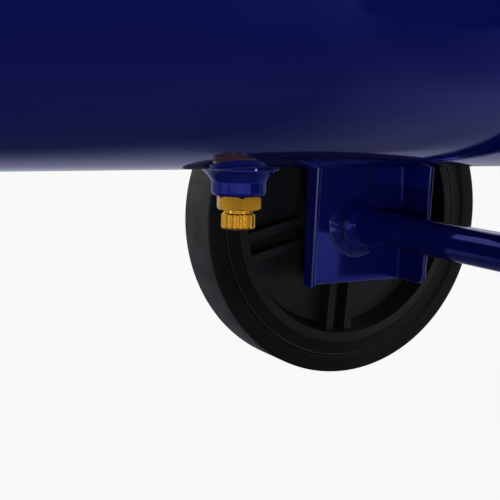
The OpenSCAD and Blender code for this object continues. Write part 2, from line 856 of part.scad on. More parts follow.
// What is cut away outside a flange's leaning free edge, which runs into a rounded lower corner. The corner
// is at the origin, and the metal that stays lies towards +Y and +Z.
module flange_edge(r) {
    reach = tank_d;
    centre = r * (1 - sin(flange_lean)) / cos(flange_lean);
    rotate([90, 0, 90]) linear_extrude(4 * sheet_t, center = true) difference() {
        translate([-reach, -1]) square([reach + centre, reach]);
        translate([centre, r]) circle(r = r);
        polygon([
            [centre, r], [centre - r * cos(flange_lean), r - r * sin(flange_lean)],
            [-reach * tan(flange_lean), reach], [centre + 1, reach], [centre + 1, r]
        ]);
    }
}

module wheel_bracket() {
    bottom_z = axle_z - bracket_drop;
    grown = (tank_z - bottom_z) * tan(flange_lean);
    difference() {
        translate([axle_x, web_out_y, bottom_z]) linear_extrude(tank_z - bottom_z) bracket_plan(grown);
        tank_space(weld_gap);
        translate([axle_x, 0, axle_z]) along_y() cylinder(r = rod_hole_r, h = wheel_gap);
        translate([axle_x + bracket_w / 2, web_out_y - deep_flange, bottom_z])
            flange_edge(flange_corner_r);
        translate([axle_x - bracket_w / 2, web_out_y - shallow_flange, bottom_z])
            flange_edge(flange_corner_r / 3);
    }
}

module left_wheel_bracket() {
    color(tank_blue) wheel_bracket();
}

module right_wheel_bracket() {
    color(tank_blue) mirror([0, 1, 0]) wheel_bracket();
}

// ---- Rest foot: a bent strip on two rubber pads ----

// Front view of the foot's strip: x across the cart, y up from its underside.
module foot_profile() {
    leg_h = tank_z - pad_h;
    inner_r = foot_bend_r - sheet_t;
    square_w = 2 * (foot_leg_y - foot_bend_r);
    translate([-square_w / 2, 0]) square([square_w, sheet_t]);
    for (side = [0, 1]) mirror([side, 0]) {
        translate([foot_leg_y - sheet_t, foot_bend_r]) square([sheet_t, leg_h - foot_bend_r]);
        translate([foot_leg_y - foot_bend_r, foot_bend_r]) intersection() {
            difference() {
                circle(r = foot_bend_r);
                circle(r = inner_r);
            }
            translate([0, -foot_bend_r]) square(foot_bend_r);
        }
    }
}

module at_foot_bolts() {
    both_sides() translate([foot_x, pad_pitch / 2, 0]) children();
}

module rest_foot() {
    color(tank_blue) difference() {
        translate([foot_x - foot_w / 2, 0, pad_h]) rotate([90, 0, 90]) linear_extrude(foot_w) foot_profile();
        tank_space(weld_gap);
        at_foot_bolts() cylinder(r = foot_bolt_d / 2 + hole_gap, h = foot_top_z + 1);
    }
}

module foot_pads() {
    top_d = pad_d - 8;
    recess_h = bolt_head_h + 4;
    color(rubber_black) at_foot_bolts() difference() {
        rotate_extrude() difference() {
            polygon([
                [0, 0], [pad_d / 2 - 1.5, 0], [pad_d / 2, 1.5], [pad_d / 2, 5],
                [top_d / 2, pad_h - 2], [top_d / 2, pad_h - press_gap], [0, pad_h - press_gap]
            ]);
            square([bolt_head_d / 2 + 2, recess_h]);
        }
        cylinder(r = foot_bolt_d / 2 + hole_gap, h = pad_h * 2);
    }
}

module foot_bolts() {
    head_z = 4 - press_gap;
    color(steel_grey) at_foot_bolts() translate([0, 0, head_z]) {
        hex_prism(nut_flats, bolt_head_h);
        cylinder(r = foot_bolt_d / 2, h = foot_top_z + nut_h + 2.5 - head_z);
    }
}

module foot_nuts() {
    color(steel_grey) at_foot_bolts() translate([0, 0, foot_top_z + press_gap]) difference() {
        hex_prism(nut_flats, nut_h);
        translate([0, 0, -1]) cylinder(r = foot_bolt_d / 2 + press_gap, h = nut_h + 2);
    }
}

// ---- Handle: two welded sockets, a bent tube held by two screws, and a grip sleeve ----

// Puts a piece on the left handle arm's axis, with +Z pointing straight out from the tank.
module at_left_arm(x) {
    translate([x, arm_y, arm_z]) rotate([-arm_tilt, 0, 0]) children();
}

module handle_sockets() {
    socket_in_r = handle_r + hole_gap;
    color(tank_blue) both_sides() difference() {
        at_left_arm(socket_x) along_x() ring(socket_r, socket_in_r, socket_len);
        at_left_arm(screw_x) cylinder(r = handle_screw_d / 2 + run_gap, h = socket_r * 2);
    }
}

// The handle tube's course as a solid bar of radius r. Its bends have a radius of their own, and the arms'
// open ends are drawn longer by extra.
module handle_course(r, bend_r, extra) {
    straight = rise_len - grip_bend_r;
    both_sides() translate([arm_bend_x, arm_y, arm_z]) {
        translate([-bend_lap, 0, 0]) along_x() cylinder(r = r, h = arm_in_x - arm_bend_x + bend_lap + extra);
        translate([0, 0, arm_bend_r]) along_y() rotate([0, 0, 90])
            rotate_extrude(angle = handle_rake, $fn = 120) translate([arm_bend_r, 0]) circle(r = bend_r);
        translate([-arm_bend_r * sin(handle_rake), 0, arm_bend_r * (1 - cos(handle_rake))])
            rotate([0, handle_rake, 0]) {
                translate([bend_lap, 0, 0]) rotate([0, -90, 0]) cylinder(r = r, h = straight + 2 * bend_lap);
                translate([-straight, -grip_bend_r, 0]) rotate([0, 0, 90])
                    rotate_extrude(angle = 90, $fn = 120) translate([grip_bend_r, 0]) circle(r = bend_r);
            }
    }
    translate([grip_x, 0, grip_height]) along_y()
        cylinder(r = r, h = 2 * (arm_y - grip_bend_r + bend_lap), center = true);
}

module push_handle() {
    bore_r = handle_r - handle_tube_wall;
    color(tank_blue) difference() {
        handle_course(handle_r, handle_r + bend_swell, 0);
        handle_course(bore_r, bore_r - bend_swell, 1);
    }
}

module handle_grip() {
    edge = 3;
    grip_r = grip_d / 2;
    color(rubber_black) translate([grip_x, 0, grip_height]) along_y() translate([0, 0, -grip_len / 2])
        rotate_extrude() difference() {
            polygon([
                [0, 0], [grip_r - edge, 0], [grip_r, edge], [grip_r, grip_len - edge],
                [grip_r - edge, grip_len], [0, grip_len]
            ]);
            translate([-1, -1]) square([handle_r + press_gap + 1, grip_len + 2]);
            for (z = [grip_len * 0.12 : grip_len * 0.095 : grip_len * 0.9])
                translate([grip_r + 0.6, z]) circle(r = 1.6, $fn = 24);
        }
}

module handle_screws() {
    color(steel_grey) both_sides() at_left_arm(screw_x) {
        translate([0, 0, handle_r + press_gap]) cylinder(d = handle_screw_d, h = socket_r - handle_r + 2);
        translate([0, 0, socket_r + 1]) hex_prism(screw_flats, bolt_head_h);
    }
}

// ---- Filler: a screw cap with finger hollows, on a gasket ----

module filler_cap() {
    skirt_z = cap_top_z - cap_h;
    edge = 3;
    color(plastic_black) translate([filler_x, 0, 0]) difference() {
        translate([0, 0, skirt_z]) rotate_extrude($fn = 120) {
            square([cap_r, cap_h - edge]);
            square([cap_r - edge, cap_h]);
            translate([cap_r - edge, cap_h - edge]) circle(r = edge);
        }
        translate([0, 0, skirt_z - 1]) cylinder(r = cap_bore_r, h = cap_h - cap_top_t + 1, $fn = 120);
        for (i = [0 : cap_hollows - 1]) rotate([0, 0, i * 360 / cap_hollows])
            translate([cap_r + 5, 0, skirt_z - 1]) cylinder(r = 9, h = cap_h + 2);
        translate([0, 0, cap_top_z - 1.5]) ring(cap_r - 14, cap_r - 17, 3);
    }
}

module cap_gasket() {
    color(rubber_black) translate([filler_x, 0, neck_top_z + run_gap])
        ring(neck_r - press_gap, neck_r - neck_wall - 0.5, gasket_t);
}

// ---- Outlet: dip tube, elbow, ball valve and hose tail ----

module dip_tube() {
    foot_z = belly_height + tank_wall + dip_gap;
    color(steel_grey) translate([outlet_x, 0, 0]) difference() {
        translate([0, 0, foot_z]) ring(dip_r, dip_r - dip_wall, outlet_top_z - dip_sink - foot_z);
        translate([0, 0, foot_z]) rotate([0, 30, 0])
            cube([dip_d * 2, dip_d * 2, dip_d * 0.6], center = true);
    }
}

// A quarter bend of the outlet's elbow as a solid bar of radius r, from straight up to straight outwards
module elbow_bend(r) {
    translate([valve_start_x, 0, elbow_start_z]) along_y() rotate([0, 0, 180])
        rotate_extrude(angle = 90) translate([elbow_bend_r, 0]) circle(r = r);
}

module outlet_elbow() {
    elbow_r = elbow_d / 2;
    thread_r = outlet_thread_r - press_gap;
    bore_r = flow_r - 1;
    spigot_bottom_z = outlet_top_z - boss_thread_len;
    dip_end_z = outlet_top_z - dip_sink + press_gap;
    color(brass_gold) difference() {
        union() {
            translate([outlet_x, 0, spigot_bottom_z]) cylinder(r = thread_r, h = boss_thread_len + 1);
            translate([outlet_x, 0, outlet_top_z + press_gap]) hex_prism(valve_hex, elbow_hex_h);
            elbow_bend(elbow_r);
            translate([valve_start_x - bend_lap, 0, valve_z]) along_x()
                cylinder(r = thread_r, h = elbow_thread_len + bend_lap);
        }
        translate([outlet_x, 0, spigot_bottom_z - 1])
            cylinder(r = dip_r + press_gap, h = dip_end_z - spigot_bottom_z + 1);
        union() {
            translate([outlet_x, 0, spigot_bottom_z])
                cylinder(r = bore_r, h = elbow_start_z + bend_lap - spigot_bottom_z);
            elbow_bend(bore_r - bend_swell);
            translate([valve_start_x - bend_lap, 0, valve_z]) along_x()
                cylinder(r = bore_r, h = elbow_thread_len + bend_lap + 1);
        }
    }
}

module outlet_valve_body() {
    hex_len = 11;
    neck_r = valve_hex / 2;
    slope = 4;
    body_r = valve_body_d / 2;
    color(brass_gold) difference() {
        union() {
            translate([valve_in_x, 0, valve_z]) along_x() hex_prism(valve_hex, hex_len);
            translate([valve_in_x, 0, valve_z]) along_x() rotate_extrude() polygon([
                [0, hex_len - 2], [neck_r, hex_len - 2], [neck_r, hex_len - 1], [body_r, hex_len - 1 + slope],
                [body_r, valve_body_len - 1], [neck_r, valve_body_len - 1], [neck_r, valve_body_len],
                [0, valve_body_len]
            ]);
            translate([ball_x, 0, valve_z]) cylinder(r = bonnet_r, h = bonnet_top_z - valve_z);
        }
        translate([valve_in_x - 1, 0, valve_z]) along_x()
            cylinder(r = outlet_thread_r, h = elbow_thread_len + 1.5);
        translate([valve_in_x, 0, valve_z]) along_x() cylinder(r = flow_r, h = valve_body_len);
        translate([ball_x - ball_r - seat_room, 0, valve_z]) along_x()
            cylinder(r = cavity_r, h = valve_body_len);
        translate([ball_x, 0, valve_z]) cylinder(r = stem_r + run_gap, h = valve_body_d);
    }
}

// Two rings that the ball turns between.
module valve_seats() {
    back_x = ball_r + seat_room - press_gap;
    color("white") translate([ball_x, 0, valve_z]) for (turn = [90, -90]) rotate([0, turn, 0])
        rotate_extrude() difference() {
            translate([flow_r, back_x - seat_t]) square([cavity_r - press_gap - flow_r, seat_t]);
            circle(r = ball_r + run_gap, $fn = 180);
        }
}

module outlet_ball() {
    color(steel_grey) translate([ball_x, 0, valve_z]) difference() {
        sphere(r = ball_r, $fn = 96);
        along_y() cylinder(r = flow_r, h = ball_d * 2, center = true);
        translate([-tang_slot_w / 2, -ball_r, ball_r - tang_depth]) cube([tang_slot_w, ball_d, ball_r]);
    }
}

module outlet_stem() {
    tang_w = tang_slot_w - 2 * run_gap;
    foot_z = valve_z + ball_r + run_gap;
    color(steel_grey) translate([ball_x, 0, 0]) {
        translate([-tang_w / 2, 1 - stem_r, foot_z - tang_depth])
            cube([tang_w, 2 * stem_r - 2, tang_depth + 1]);
        translate([0, 0, foot_z]) cylinder(r = stem_r, h = lever_z - press_gap - foot_z);
        translate([0, 0, lever_z - 1]) cylinder(r = stem_tip_r, h = lever_t + lever_nut_h + 3);
    }
}

// At rest the lever lies across the flow, with the valve shut.
module outlet_lever() {
    hub_r = lever_w / 2 + 2;
    blade_y = lever_run + lever_step;
    color(tank_blue) translate([ball_x, 0, lever_z]) difference() {
        union() {
            cylinder(r = hub_r, h = lever_t);
            translate([-lever_w / 2, 0, 0]) cube([lever_w, lever_run, lever_t]);
            translate([lever_w / 2, lever_run, 0]) rotate([0, -90, 0]) linear_extrude(lever_w) polygon([
                [0, -0.4], [0, 0.6], [lever_step, lever_step + 0.6], [lever_step + lever_t, lever_step + 0.6],
                [lever_step + lever_t, lever_step - 0.4], [lever_t, -0.4]
            ]);
            translate([-lever_w / 2, blade_y, lever_step])
                cube([lever_w, lever_len - lever_w / 2 - blade_y, lever_t]);
            translate([0, lever_len - lever_w / 2, lever_step]) cylinder(r = lever_w / 2, h = lever_t);
        }
        translate([0, 0, -1]) cylinder(r = stem_tip_r + press_gap, h = lever_t + 2);
        translate([0, lever_len - lever_w / 2, lever_step - 1]) cylinder(r = lever_eye_r, h = lever_t + 2);
    }
}

module lever_nut() {
    color(steel_grey) translate([ball_x, 0, lever_z + lever_t + press_gap]) difference() {
        hex_prism(lever_nut_flats, lever_nut_h);
        translate([0, 0, -1]) cylinder(r = stem_tip_r + press_gap, h = lever_nut_h + 2);
    }
}

module hose_tail() {
    tail_x = valve_in_x + valve_body_len;
    hex_len = 8;
    nose = 2;
    spigot_r = hose_spigot_d / 2;
    seat_x = ball_x + ball_r + seat_room;
    color(brass_gold) difference() {
        union() {
            translate([seat_x, 0, valve_z]) along_x()
                cylinder(r = cavity_r - press_gap, h = tail_x - seat_x + 1);
            translate([tail_x + press_gap, 0, valve_z]) along_x() hex_prism(valve_hex - 3, hex_len);
            translate([tail_x + hex_len, 0, valve_z]) along_x() rotate_extrude() polygon([
                [0, 0], [spigot_r, 0], [spigot_r, hose_spigot_len - nose],
                [spigot_r - nose / 2, hose_spigot_len], [0, hose_spigot_len]
            ]);
        }
        translate([seat_x - 1, 0, valve_z]) along_x() cylinder(r = spigot_r - 2, h = valve_body_len * 3);
    }
}

// ---- Fittings block with gauge, safety valve and air inlet ----

module fittings_block() {
    half = block_w / 2;
    top_z = tank_top_z + socket_boss_h;
    spigot_z = top_z - boss_thread_len;
    color(brass_gold) translate([block_x, 0, 0]) difference() {
        union() {
            translate([0, 0, spigot_z]) cylinder(r = block_thread_r - press_gap, h = boss_thread_len + 1);
            translate([0, 0, top_z + press_gap]) hex_prism(block_hex, block_hex_h + 1);
            intersection() {
                translate([-half, -half, block_z]) cube([block_w, block_w, block_h]);
                translate([0, 0, block_z]) rotate([0, 0, 45])
                    cube([block_w * 1.28, block_w * 1.28, block_h * 4], center = true);
            }
        }
        translate([0, 0, spigot_z - 1]) cylinder(r = 4, h = block_z + block_h - spigot_z);
        translate([0, 0, block_z + block_h - thread_len - 1]) cylinder(r = port_r, h = thread_len + 2);
        translate([-half - 1, 0, port_z]) along_x() cylinder(r = port_r, h = thread_len + 2);
        translate([-half, 0, port_z]) along_x() cylinder(r = cross_way_r, h = half);
        translate([0, -half - 1, port_z]) along_y() cylinder(r = port_r, h = thread_len + 2);
        translate([0, -half, port_z]) along_y() cylinder(r = cross_way_r, h = half);
    }
}

// Carries a piece so that +Z points from the gauge's back to its face, which looks at the handle.
module at_gauge_back() {
    translate([gauge_back_x, 0, port_z]) rotate([0, -90, 0]) rotate([0, 0, 90]) children();
}

module gauge_case() {
    dial_depth = gauge_back_x - dial_x;
    color(plastic_black) at_gauge_back() difference() {
        union() {
            translate([0, 0, -gauge_hex_h - thread_len]) cylinder(r = port_r - press_gap, h = thread_len + 1);
            translate([0, 0, -gauge_hex_h]) hex_prism(gauge_hex, gauge_hex_h + 0.5);
            cylinder(r = gauge_r - 1, h = gauge_depth - 1, $fn = 120);
            translate([0, 0, gauge_depth - bezel_h]) cylinder(r = gauge_r, h = bezel_h, $fn = 120);
        }
        translate([0, 0, dial_depth - dial_t])
            cylinder(r = gauge_mouth_r, h = gauge_depth, $fn = 120);
        translate([0, 0, -gauge_hex_h - thread_len - 1]) cylinder(r = 1.5, h = dial_depth);
    }
}

module gauge_dial() {
    color("white") at_gauge_back() translate([0, 0, gauge_back_x - dial_x - dial_t + press_gap])
        ring(gauge_mouth_r - press_gap, pivot_r + run_gap, dial_t);
}

// At rest the needle points down to the left, at the dial's zero.
module gauge_needle() {
    color("black") at_gauge_back() translate([0, 0, gauge_back_x - dial_x + press_gap]) {
        translate([0, 0, -dial_t]) cylinder(r = pivot_r, h = dial_t + 1);
        translate([0, 0, move_gap]) cylinder(r = 3, h = 1.4);
        rotate([0, 0, -45]) translate([0, 0, move_gap]) linear_extrude(0.6)
            polygon([[-1.3, -6], [1.3, -6], [0.4, needle_len], [-0.4, needle_len]]);
    }
}

module gauge_lens() {
    color([0.8, 0.9, 0.95, 0.4]) at_gauge_back() translate([0, 0, gauge_back_x - lens_x - lens_t])
        cylinder(r = gauge_mouth_r - press_gap, h = lens_t, $fn = 120);
}

module safety_valve_body() {
    bevel = 1.5;
    color(brass_gold) translate([block_x, 0, 0]) difference() {
        union() {
            translate([0, 0, safety_z - thread_len + 1]) cylinder(r = port_r - press_gap, h = thread_len);
            translate([0, 0, safety_z]) hex_prism(safety_hex, safety_hex_h);
            translate([0, 0, safety_z + safety_hex_h - 1]) rotate_extrude() polygon([
                [0, 0], [safety_r, 0], [safety_r, safety_len + 1 - bevel], [safety_r - bevel, safety_len + 1],
                [0, safety_len + 1]
            ]);
        }
        translate([0, 0, safety_floor_z]) cylinder(r = safety_chamber_r, h = safety_roof_z - safety_floor_z);
        translate([0, 0, safety_z - thread_len]) cylinder(r = 2, h = thread_len + 4);
        translate([0, 0, safety_roof_z - 1]) cylinder(r = safety_stem_r + run_gap, h = 6);
        for (turn = [0, 90]) translate([0, 0, safety_z + safety_hex_h + 5]) rotate([90, 0, turn])
            cylinder(r = 1.6, h = safety_d * 2, center = true);
    }
}

module safety_spring() {
    spring_z = safety_floor_z + 2 * press_gap + disc_h;
    color(steel_grey) translate([block_x, 0, spring_z])
        ring(safety_disc_r, safety_stem_r + 0.8, safety_roof_z - spring_z - press_gap);
}

module safety_stem() {
    color(brass_gold) translate([block_x, 0, 0]) {
        translate([0, 0, safety_floor_z + press_gap]) cylinder(r = safety_disc_r, h = disc_h);
        translate([0, 0, safety_floor_z + disc_h])
            cylinder(r = safety_stem_r, h = eye_z - eye_r + 0.7 - safety_floor_z - disc_h);
        difference() {
            translate([0, 0, eye_z]) along_y() cylinder(r = eye_r, h = 2, center = true);
            translate([0, 0, eye_z]) along_y()
                cylinder(r = pull_wire_d / 2 + move_gap + 0.4, h = 4, center = true);
        }
    }
}

// The ring droops from the stem's eye towards the handle.
module pull_ring() {
    color(steel_grey) translate([block_x, 0, eye_z]) rotate([0, -pull_droop, 0])
        translate([-pull_ring_r, 0, 0]) rotate_extrude($fn = 96)
            translate([pull_ring_r, 0]) circle(d = pull_wire_d, $fn = 24);
}

module air_plug() {
    plug_r = plug_d / 2;
    color(steel_grey) translate([block_x, plug_y, port_z]) rotate([90, 0, 0]) difference() {
        union() {
            translate([0, 0, 1 - thread_len]) cylinder(r = port_r - press_gap, h = thread_len);
            hex_prism(plug_hex, plug_hex_h);
            translate([0, 0, plug_hex_h - 1]) rotate_extrude() {
                square([plug_r + 1.8, plug_len - 12]);
                square([plug_r - 0.4, plug_len - 7]);
                translate([0, plug_len - 8]) square([plug_r + 0.8, 2.5]);
                square([plug_r, plug_len]);
            }
        }
        translate([0, 0, -thread_len]) cylinder(r = poppet_r + run_gap, h = thread_len + plug_hex_h);
        translate([0, 0, plug_hex_h - 2]) cylinder(r = plug_bore_r, h = plug_len + 3);
    }
}

module inlet_poppet() {
    color(brass_gold) translate([block_x, plug_y, port_z]) rotate([90, 0, 0])
        translate([0, 0, plug_hex_h - poppet_len - move_gap]) difference() {
            cylinder(r = poppet_r, h = poppet_len);
            translate([0, 0, -1]) cylinder(r = poppet_r / 2, h = poppet_len - 2);
        }
}

tank_shell();
wheel_end_head();
handle_end_head();
drain_bung();
filler_neck();
outlet_socket();
gauge_socket();
left_wheel_bracket();
right_wheel_bracket();
cross_tube();
axle_rod();
axle_washers();
axle_caps();
left_tyre();
left_rim();
left_bush();
right_tyre();
right_rim();
right_bush();
rest_foot();
foot_pads();
foot_bolts();
foot_nuts();
handle_sockets();
push_handle();
handle_grip();
handle_screws();
drain_valve_body();
drain_stem();
drain_knob();
filler_cap();
cap_gasket();
dip_tube();
outlet_elbow();
outlet_valve_body();
valve_seats();
outlet_ball();
outlet_stem();
outlet_lever();
lever_nut();
hose_tail();
fittings_block();
gauge_case();
gauge_dial();
gauge_needle();
gauge_lens();
safety_valve_body();
safety_spring();
safety_stem();
pull_ring();
air_plug();
inlet_poppet();
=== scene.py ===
import json
import math
import bmesh
import bpy
from mathutils import Matrix, Vector


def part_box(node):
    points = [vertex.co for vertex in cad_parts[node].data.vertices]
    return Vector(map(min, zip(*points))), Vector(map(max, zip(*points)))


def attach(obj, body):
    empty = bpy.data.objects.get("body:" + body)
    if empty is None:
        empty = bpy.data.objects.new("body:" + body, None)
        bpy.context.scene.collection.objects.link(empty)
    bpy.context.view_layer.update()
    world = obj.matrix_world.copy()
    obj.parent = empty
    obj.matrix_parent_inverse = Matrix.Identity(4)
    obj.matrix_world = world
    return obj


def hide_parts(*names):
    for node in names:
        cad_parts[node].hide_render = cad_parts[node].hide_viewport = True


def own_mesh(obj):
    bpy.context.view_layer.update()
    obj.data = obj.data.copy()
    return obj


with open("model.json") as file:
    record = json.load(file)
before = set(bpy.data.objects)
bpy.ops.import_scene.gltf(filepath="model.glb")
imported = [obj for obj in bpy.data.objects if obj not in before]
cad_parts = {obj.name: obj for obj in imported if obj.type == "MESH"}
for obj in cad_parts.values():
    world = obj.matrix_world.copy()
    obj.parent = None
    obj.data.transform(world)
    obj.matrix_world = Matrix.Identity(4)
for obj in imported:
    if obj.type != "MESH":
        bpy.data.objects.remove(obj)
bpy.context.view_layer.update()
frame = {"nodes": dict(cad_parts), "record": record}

MM = 0.001
SLOTS = {s["node"]: s["material_slot"] for s in frame["record"]["subparts"]}


# ---- Camera, floor and light ----

CAMERA_PLACE = Vector((-101.4, -358.4, 167.0)) * MM
CAMERA_YAW = math.radians(28.99)    # turned from +Y towards +X
CAMERA_PITCH = math.radians(8.29)   # looking down
CAMERA_ROLL = math.radians(1.355)
CAMERA_LENS, SENSOR_WIDTH = 71.06, 36.0    # millimetres
CLIP_START, CLIP_END = 0.02, 60.0

FILL_COLOUR, FILL_STRENGTH = (0.93, 0.96, 1.0, 1), 0.24    # the world as a light
BACKDROP, SKY_IN_GLOSS = 0.95, 0.8  # how bright the world is where it is seen itself, and in reflections
FLOOR_SIZE = 12.0                   # metres
FLOOR_WHITE = 0.94                  # how far the floor is lifted to plain white where it is seen itself
FLOOR_TONE = 0.14                   # the floor's own tone, which sets how much light it throws back up
# The floor's tone where gloss paint mirrors it: painted shade under the cart, on top of its real shadow,
# bright about it, duller far off.
GLOSS_MIDDLE = (0.0, -0.05, 0.0)
GLOSS_TINT = (0.88, 0.90, 1.0)
SHADE_TONE, BRIGHT_TONE, FAR_SHARE = 0.12, 0.66, 0.70
SHADE_END, BRIGHT_START, BRIGHT_END, FAR_START = 0.19, 0.31, 0.75, 1.05    # metres from that middle

REFLECTORS = [    # upright screens that only reflections see, from their front: ends, bottom, top, glow
    ((5.1, -2.6), (-3.9, -2.6), 0.0, 3.05, 0.0),
    ((1.90, -0.52), (0.30, -0.52), 0.0, 0.26, 0.0),
    ((1.90, -0.15), (0.441, -0.15), 0.0, 0.26, 0.0),
    ((0.229, -0.14), (0.229, 0.10), 0.085, 0.112, 0.0),
    ((0.160, -0.028), (0.118, -0.052), 0.105, 0.1268, 0.32),
]
SCREEN_BLACK = (0.02, 0.02, 0.022, 1)

WHITE, WARM = (1, 1, 1), (1.0, 0.93, 0.87)
CART_MIDDLE, DRAIN_PLACE = (0.1, 0, 0.3), (0.09, 0, 0.12)
LAMPS = [    # name, place, aim, size, watts, colour, whether reflections see it
    ("key_softbox", (-1.3, -1.5, 1.9), CART_MIDDLE, (1.6, 1.2), 45, WHITE, True),
    ("side_softbox", (2.2, -0.8, 1.2), CART_MIDDLE, (1.0, 1.4), 10, WHITE, True),
    ("back_softbox", (0.2, 2.2, 2.4), CART_MIDDLE, (2.0, 0.35), 38, WHITE, True),
    ("low_softbox", (-0.5, -1.6, 0.13), (0.2, 0.1, 0.11), (0.4, 0.12), 7, WHITE, False),
    ("spark_softbox", (0.60, -1.45, 0.15), DRAIN_PLACE, (0.12, 0.3), 1.6, WHITE, True),
    ("left_spark_softbox", (-1.3, 0.05, 0.12), DRAIN_PLACE, (0.1, 0.3), 0.7, WHITE, True),
    ("tread_softbox", (-0.45, 0.55, 0.22), (0.10, 0.17, 0.0), (0.25, 0.15), 0.5, WARM, False),
]


def make_camera():
    """The camera, set by its place and three turns."""
    data = bpy.data.cameras.new("camera")
    data.lens = CAMERA_LENS
    data.sensor_width = SENSOR_WIDTH
    data.clip_start = CLIP_START
    data.clip_end = CLIP_END
    camera = bpy.data.objects.new("camera", data)
    turn = (Matrix.Rotation(-CAMERA_YAW, 4, "Z")
            @ Matrix.Rotation(math.pi / 2 - CAMERA_PITCH, 4, "X")
            @ Matrix.Rotation(CAMERA_ROLL, 4, "Z"))
    camera.matrix_world = Matrix.Translation(CAMERA_PLACE) @ turn
    bpy.context.scene.collection.objects.link(camera)
    bpy.context.scene.camera = camera


def math_node(tree, operation, a, b=None):
    """A Math node on two numbers or sockets. Gives its output."""
    node = tree.nodes.new("ShaderNodeMath")
    node.operation = operation
    for socket, value in zip(node.inputs, (a, b)):
        if isinstance(value, (int, float)):
            socket.default_value = value
        elif value is not None:
            tree.links.new(value, socket)
    return node.outputs[0]


def map_range(tree, value, from_min, from_max, to_min=0.0, to_max=1.0):
    """A Map Range node on a socket, with numbers or sockets as its ends. Gives its output."""
    node = tree.nodes.new("ShaderNodeMapRange")
    labels = ("From Min", "From Max", "To Min", "To Max")
    for label, number in zip(labels, (from_min, from_max, to_min, to_max)):
        if isinstance(number, (int, float)):
            node.inputs[label].default_value = number
        else:
            tree.links.new(number, node.inputs[label])
    tree.links.new(value, node.inputs["Value"])
    return node.outputs["Result"]


def make_world():
    """A soft fill for the diffuse light, and a bright plain sky for the camera and for reflections."""
    world = bpy.data.worlds.new("studio")
    bpy.context.scene.world = world
    world.use_nodes = True
    tree = world.node_tree
    tree.nodes.clear()
    light = tree.nodes.new("ShaderNodeBackground")
    light.inputs["Color"].default_value = FILL_COLOUR
    light.inputs["Strength"].default_value = FILL_STRENGTH
    white = tree.nodes.new("ShaderNodeBackground")
    white.inputs["Color"].default_value = (*WHITE, 1)
    mix = tree.nodes.new("ShaderNodeMixShader")
    out = tree.nodes.new("ShaderNodeOutputWorld")
    path = tree.nodes.new("ShaderNodeLightPath").outputs
    seen = math_node(tree, "MAXIMUM", path["Is Camera Ray"],
                     math_node(tree, "MAXIMUM", path["Is Glossy Ray"], path["Is Transmission Ray"]))
    lift = math_node(tree, "MULTIPLY", path["Is Camera Ray"], BACKDROP - SKY_IN_GLOSS)
    tree.links.new(math_node(tree, "ADD", lift, SKY_IN_GLOSS), white.inputs["Strength"])
    tree.links.new(seen, mix.inputs[0])
    tree.links.new(light.outputs[0], mix.inputs[1])
    tree.links.new(white.outputs[0], mix.inputs[2])
    tree.links.new(mix.outputs[0], out.inputs["Surface"])


def make_floor():
    """Pale paper. It looks almost white itself, keeps the shadow, and shows duller in the gloss paint."""
    work = bmesh.new()
    bmesh.ops.create_grid(work, x_segments=1, y_segments=1, size=FLOOR_SIZE)
    floor = as_object(work, "floor")
    material = bpy.data.materials.new("floor_paper")
    material.use_nodes = True
    tree = material.node_tree
    tree.nodes.clear()
    path = tree.nodes.new("ShaderNodeLightPath").outputs
    paper = tree.nodes.new("ShaderNodeBsdfDiffuse")
    paper.inputs["Color"].default_value = (FLOOR_TONE, FLOOR_TONE, FLOOR_TONE, 1)
    mirrored = tree.nodes.new("ShaderNodeBsdfDiffuse")
    away = tree.nodes.new("ShaderNodeVectorMath")
    away.operation = "DISTANCE"
    tree.links.new(object_place(tree), away.inputs[0])
    away.inputs[1].default_value = GLOSS_MIDDLE
    # Painted shade: the mirrored floor is darker within SHADE_END of the cart's middle.
    rise = map_range(tree, away.outputs["Value"], SHADE_END, BRIGHT_START, SHADE_TONE, BRIGHT_TONE)
    fall = map_range(tree, away.outputs["Value"], BRIGHT_END, FAR_START, 1.0, FAR_SHARE)
    tinted = tree.nodes.new("ShaderNodeVectorMath")
    tinted.operation = "SCALE"
    tinted.inputs[0].default_value = GLOSS_TINT
    tree.links.new(math_node(tree, "MULTIPLY", rise, fall), tinted.inputs["Scale"])
    tree.links.new(tinted.outputs[0], mirrored.inputs["Color"])
    white = tree.nodes.new("ShaderNodeEmission")
    either = math_node(tree, "MAXIMUM", path["Is Camera Ray"], path["Is Transmission Ray"])
    out = tree.nodes.new("ShaderNodeOutputMaterial").inputs["Surface"]
    in_gloss = tree.nodes.new("ShaderNodeMixShader")
    tree.links.new(path["Is Glossy Ray"], in_gloss.inputs[0])
    tree.links.new(paper.outputs[0], in_gloss.inputs[1])
    tree.links.new(mirrored.outputs[0], in_gloss.inputs[2])
    seen = tree.nodes.new("ShaderNodeMixShader")
    tree.links.new(math_node(tree, "MULTIPLY", either, FLOOR_WHITE), seen.inputs[0])
    tree.links.new(in_gloss.outputs[0], seen.inputs[1])
    tree.links.new(white.outputs[0], seen.inputs[2])
    tree.links.new(seen.outputs[0], out)
    floor.data.materials.append(material)


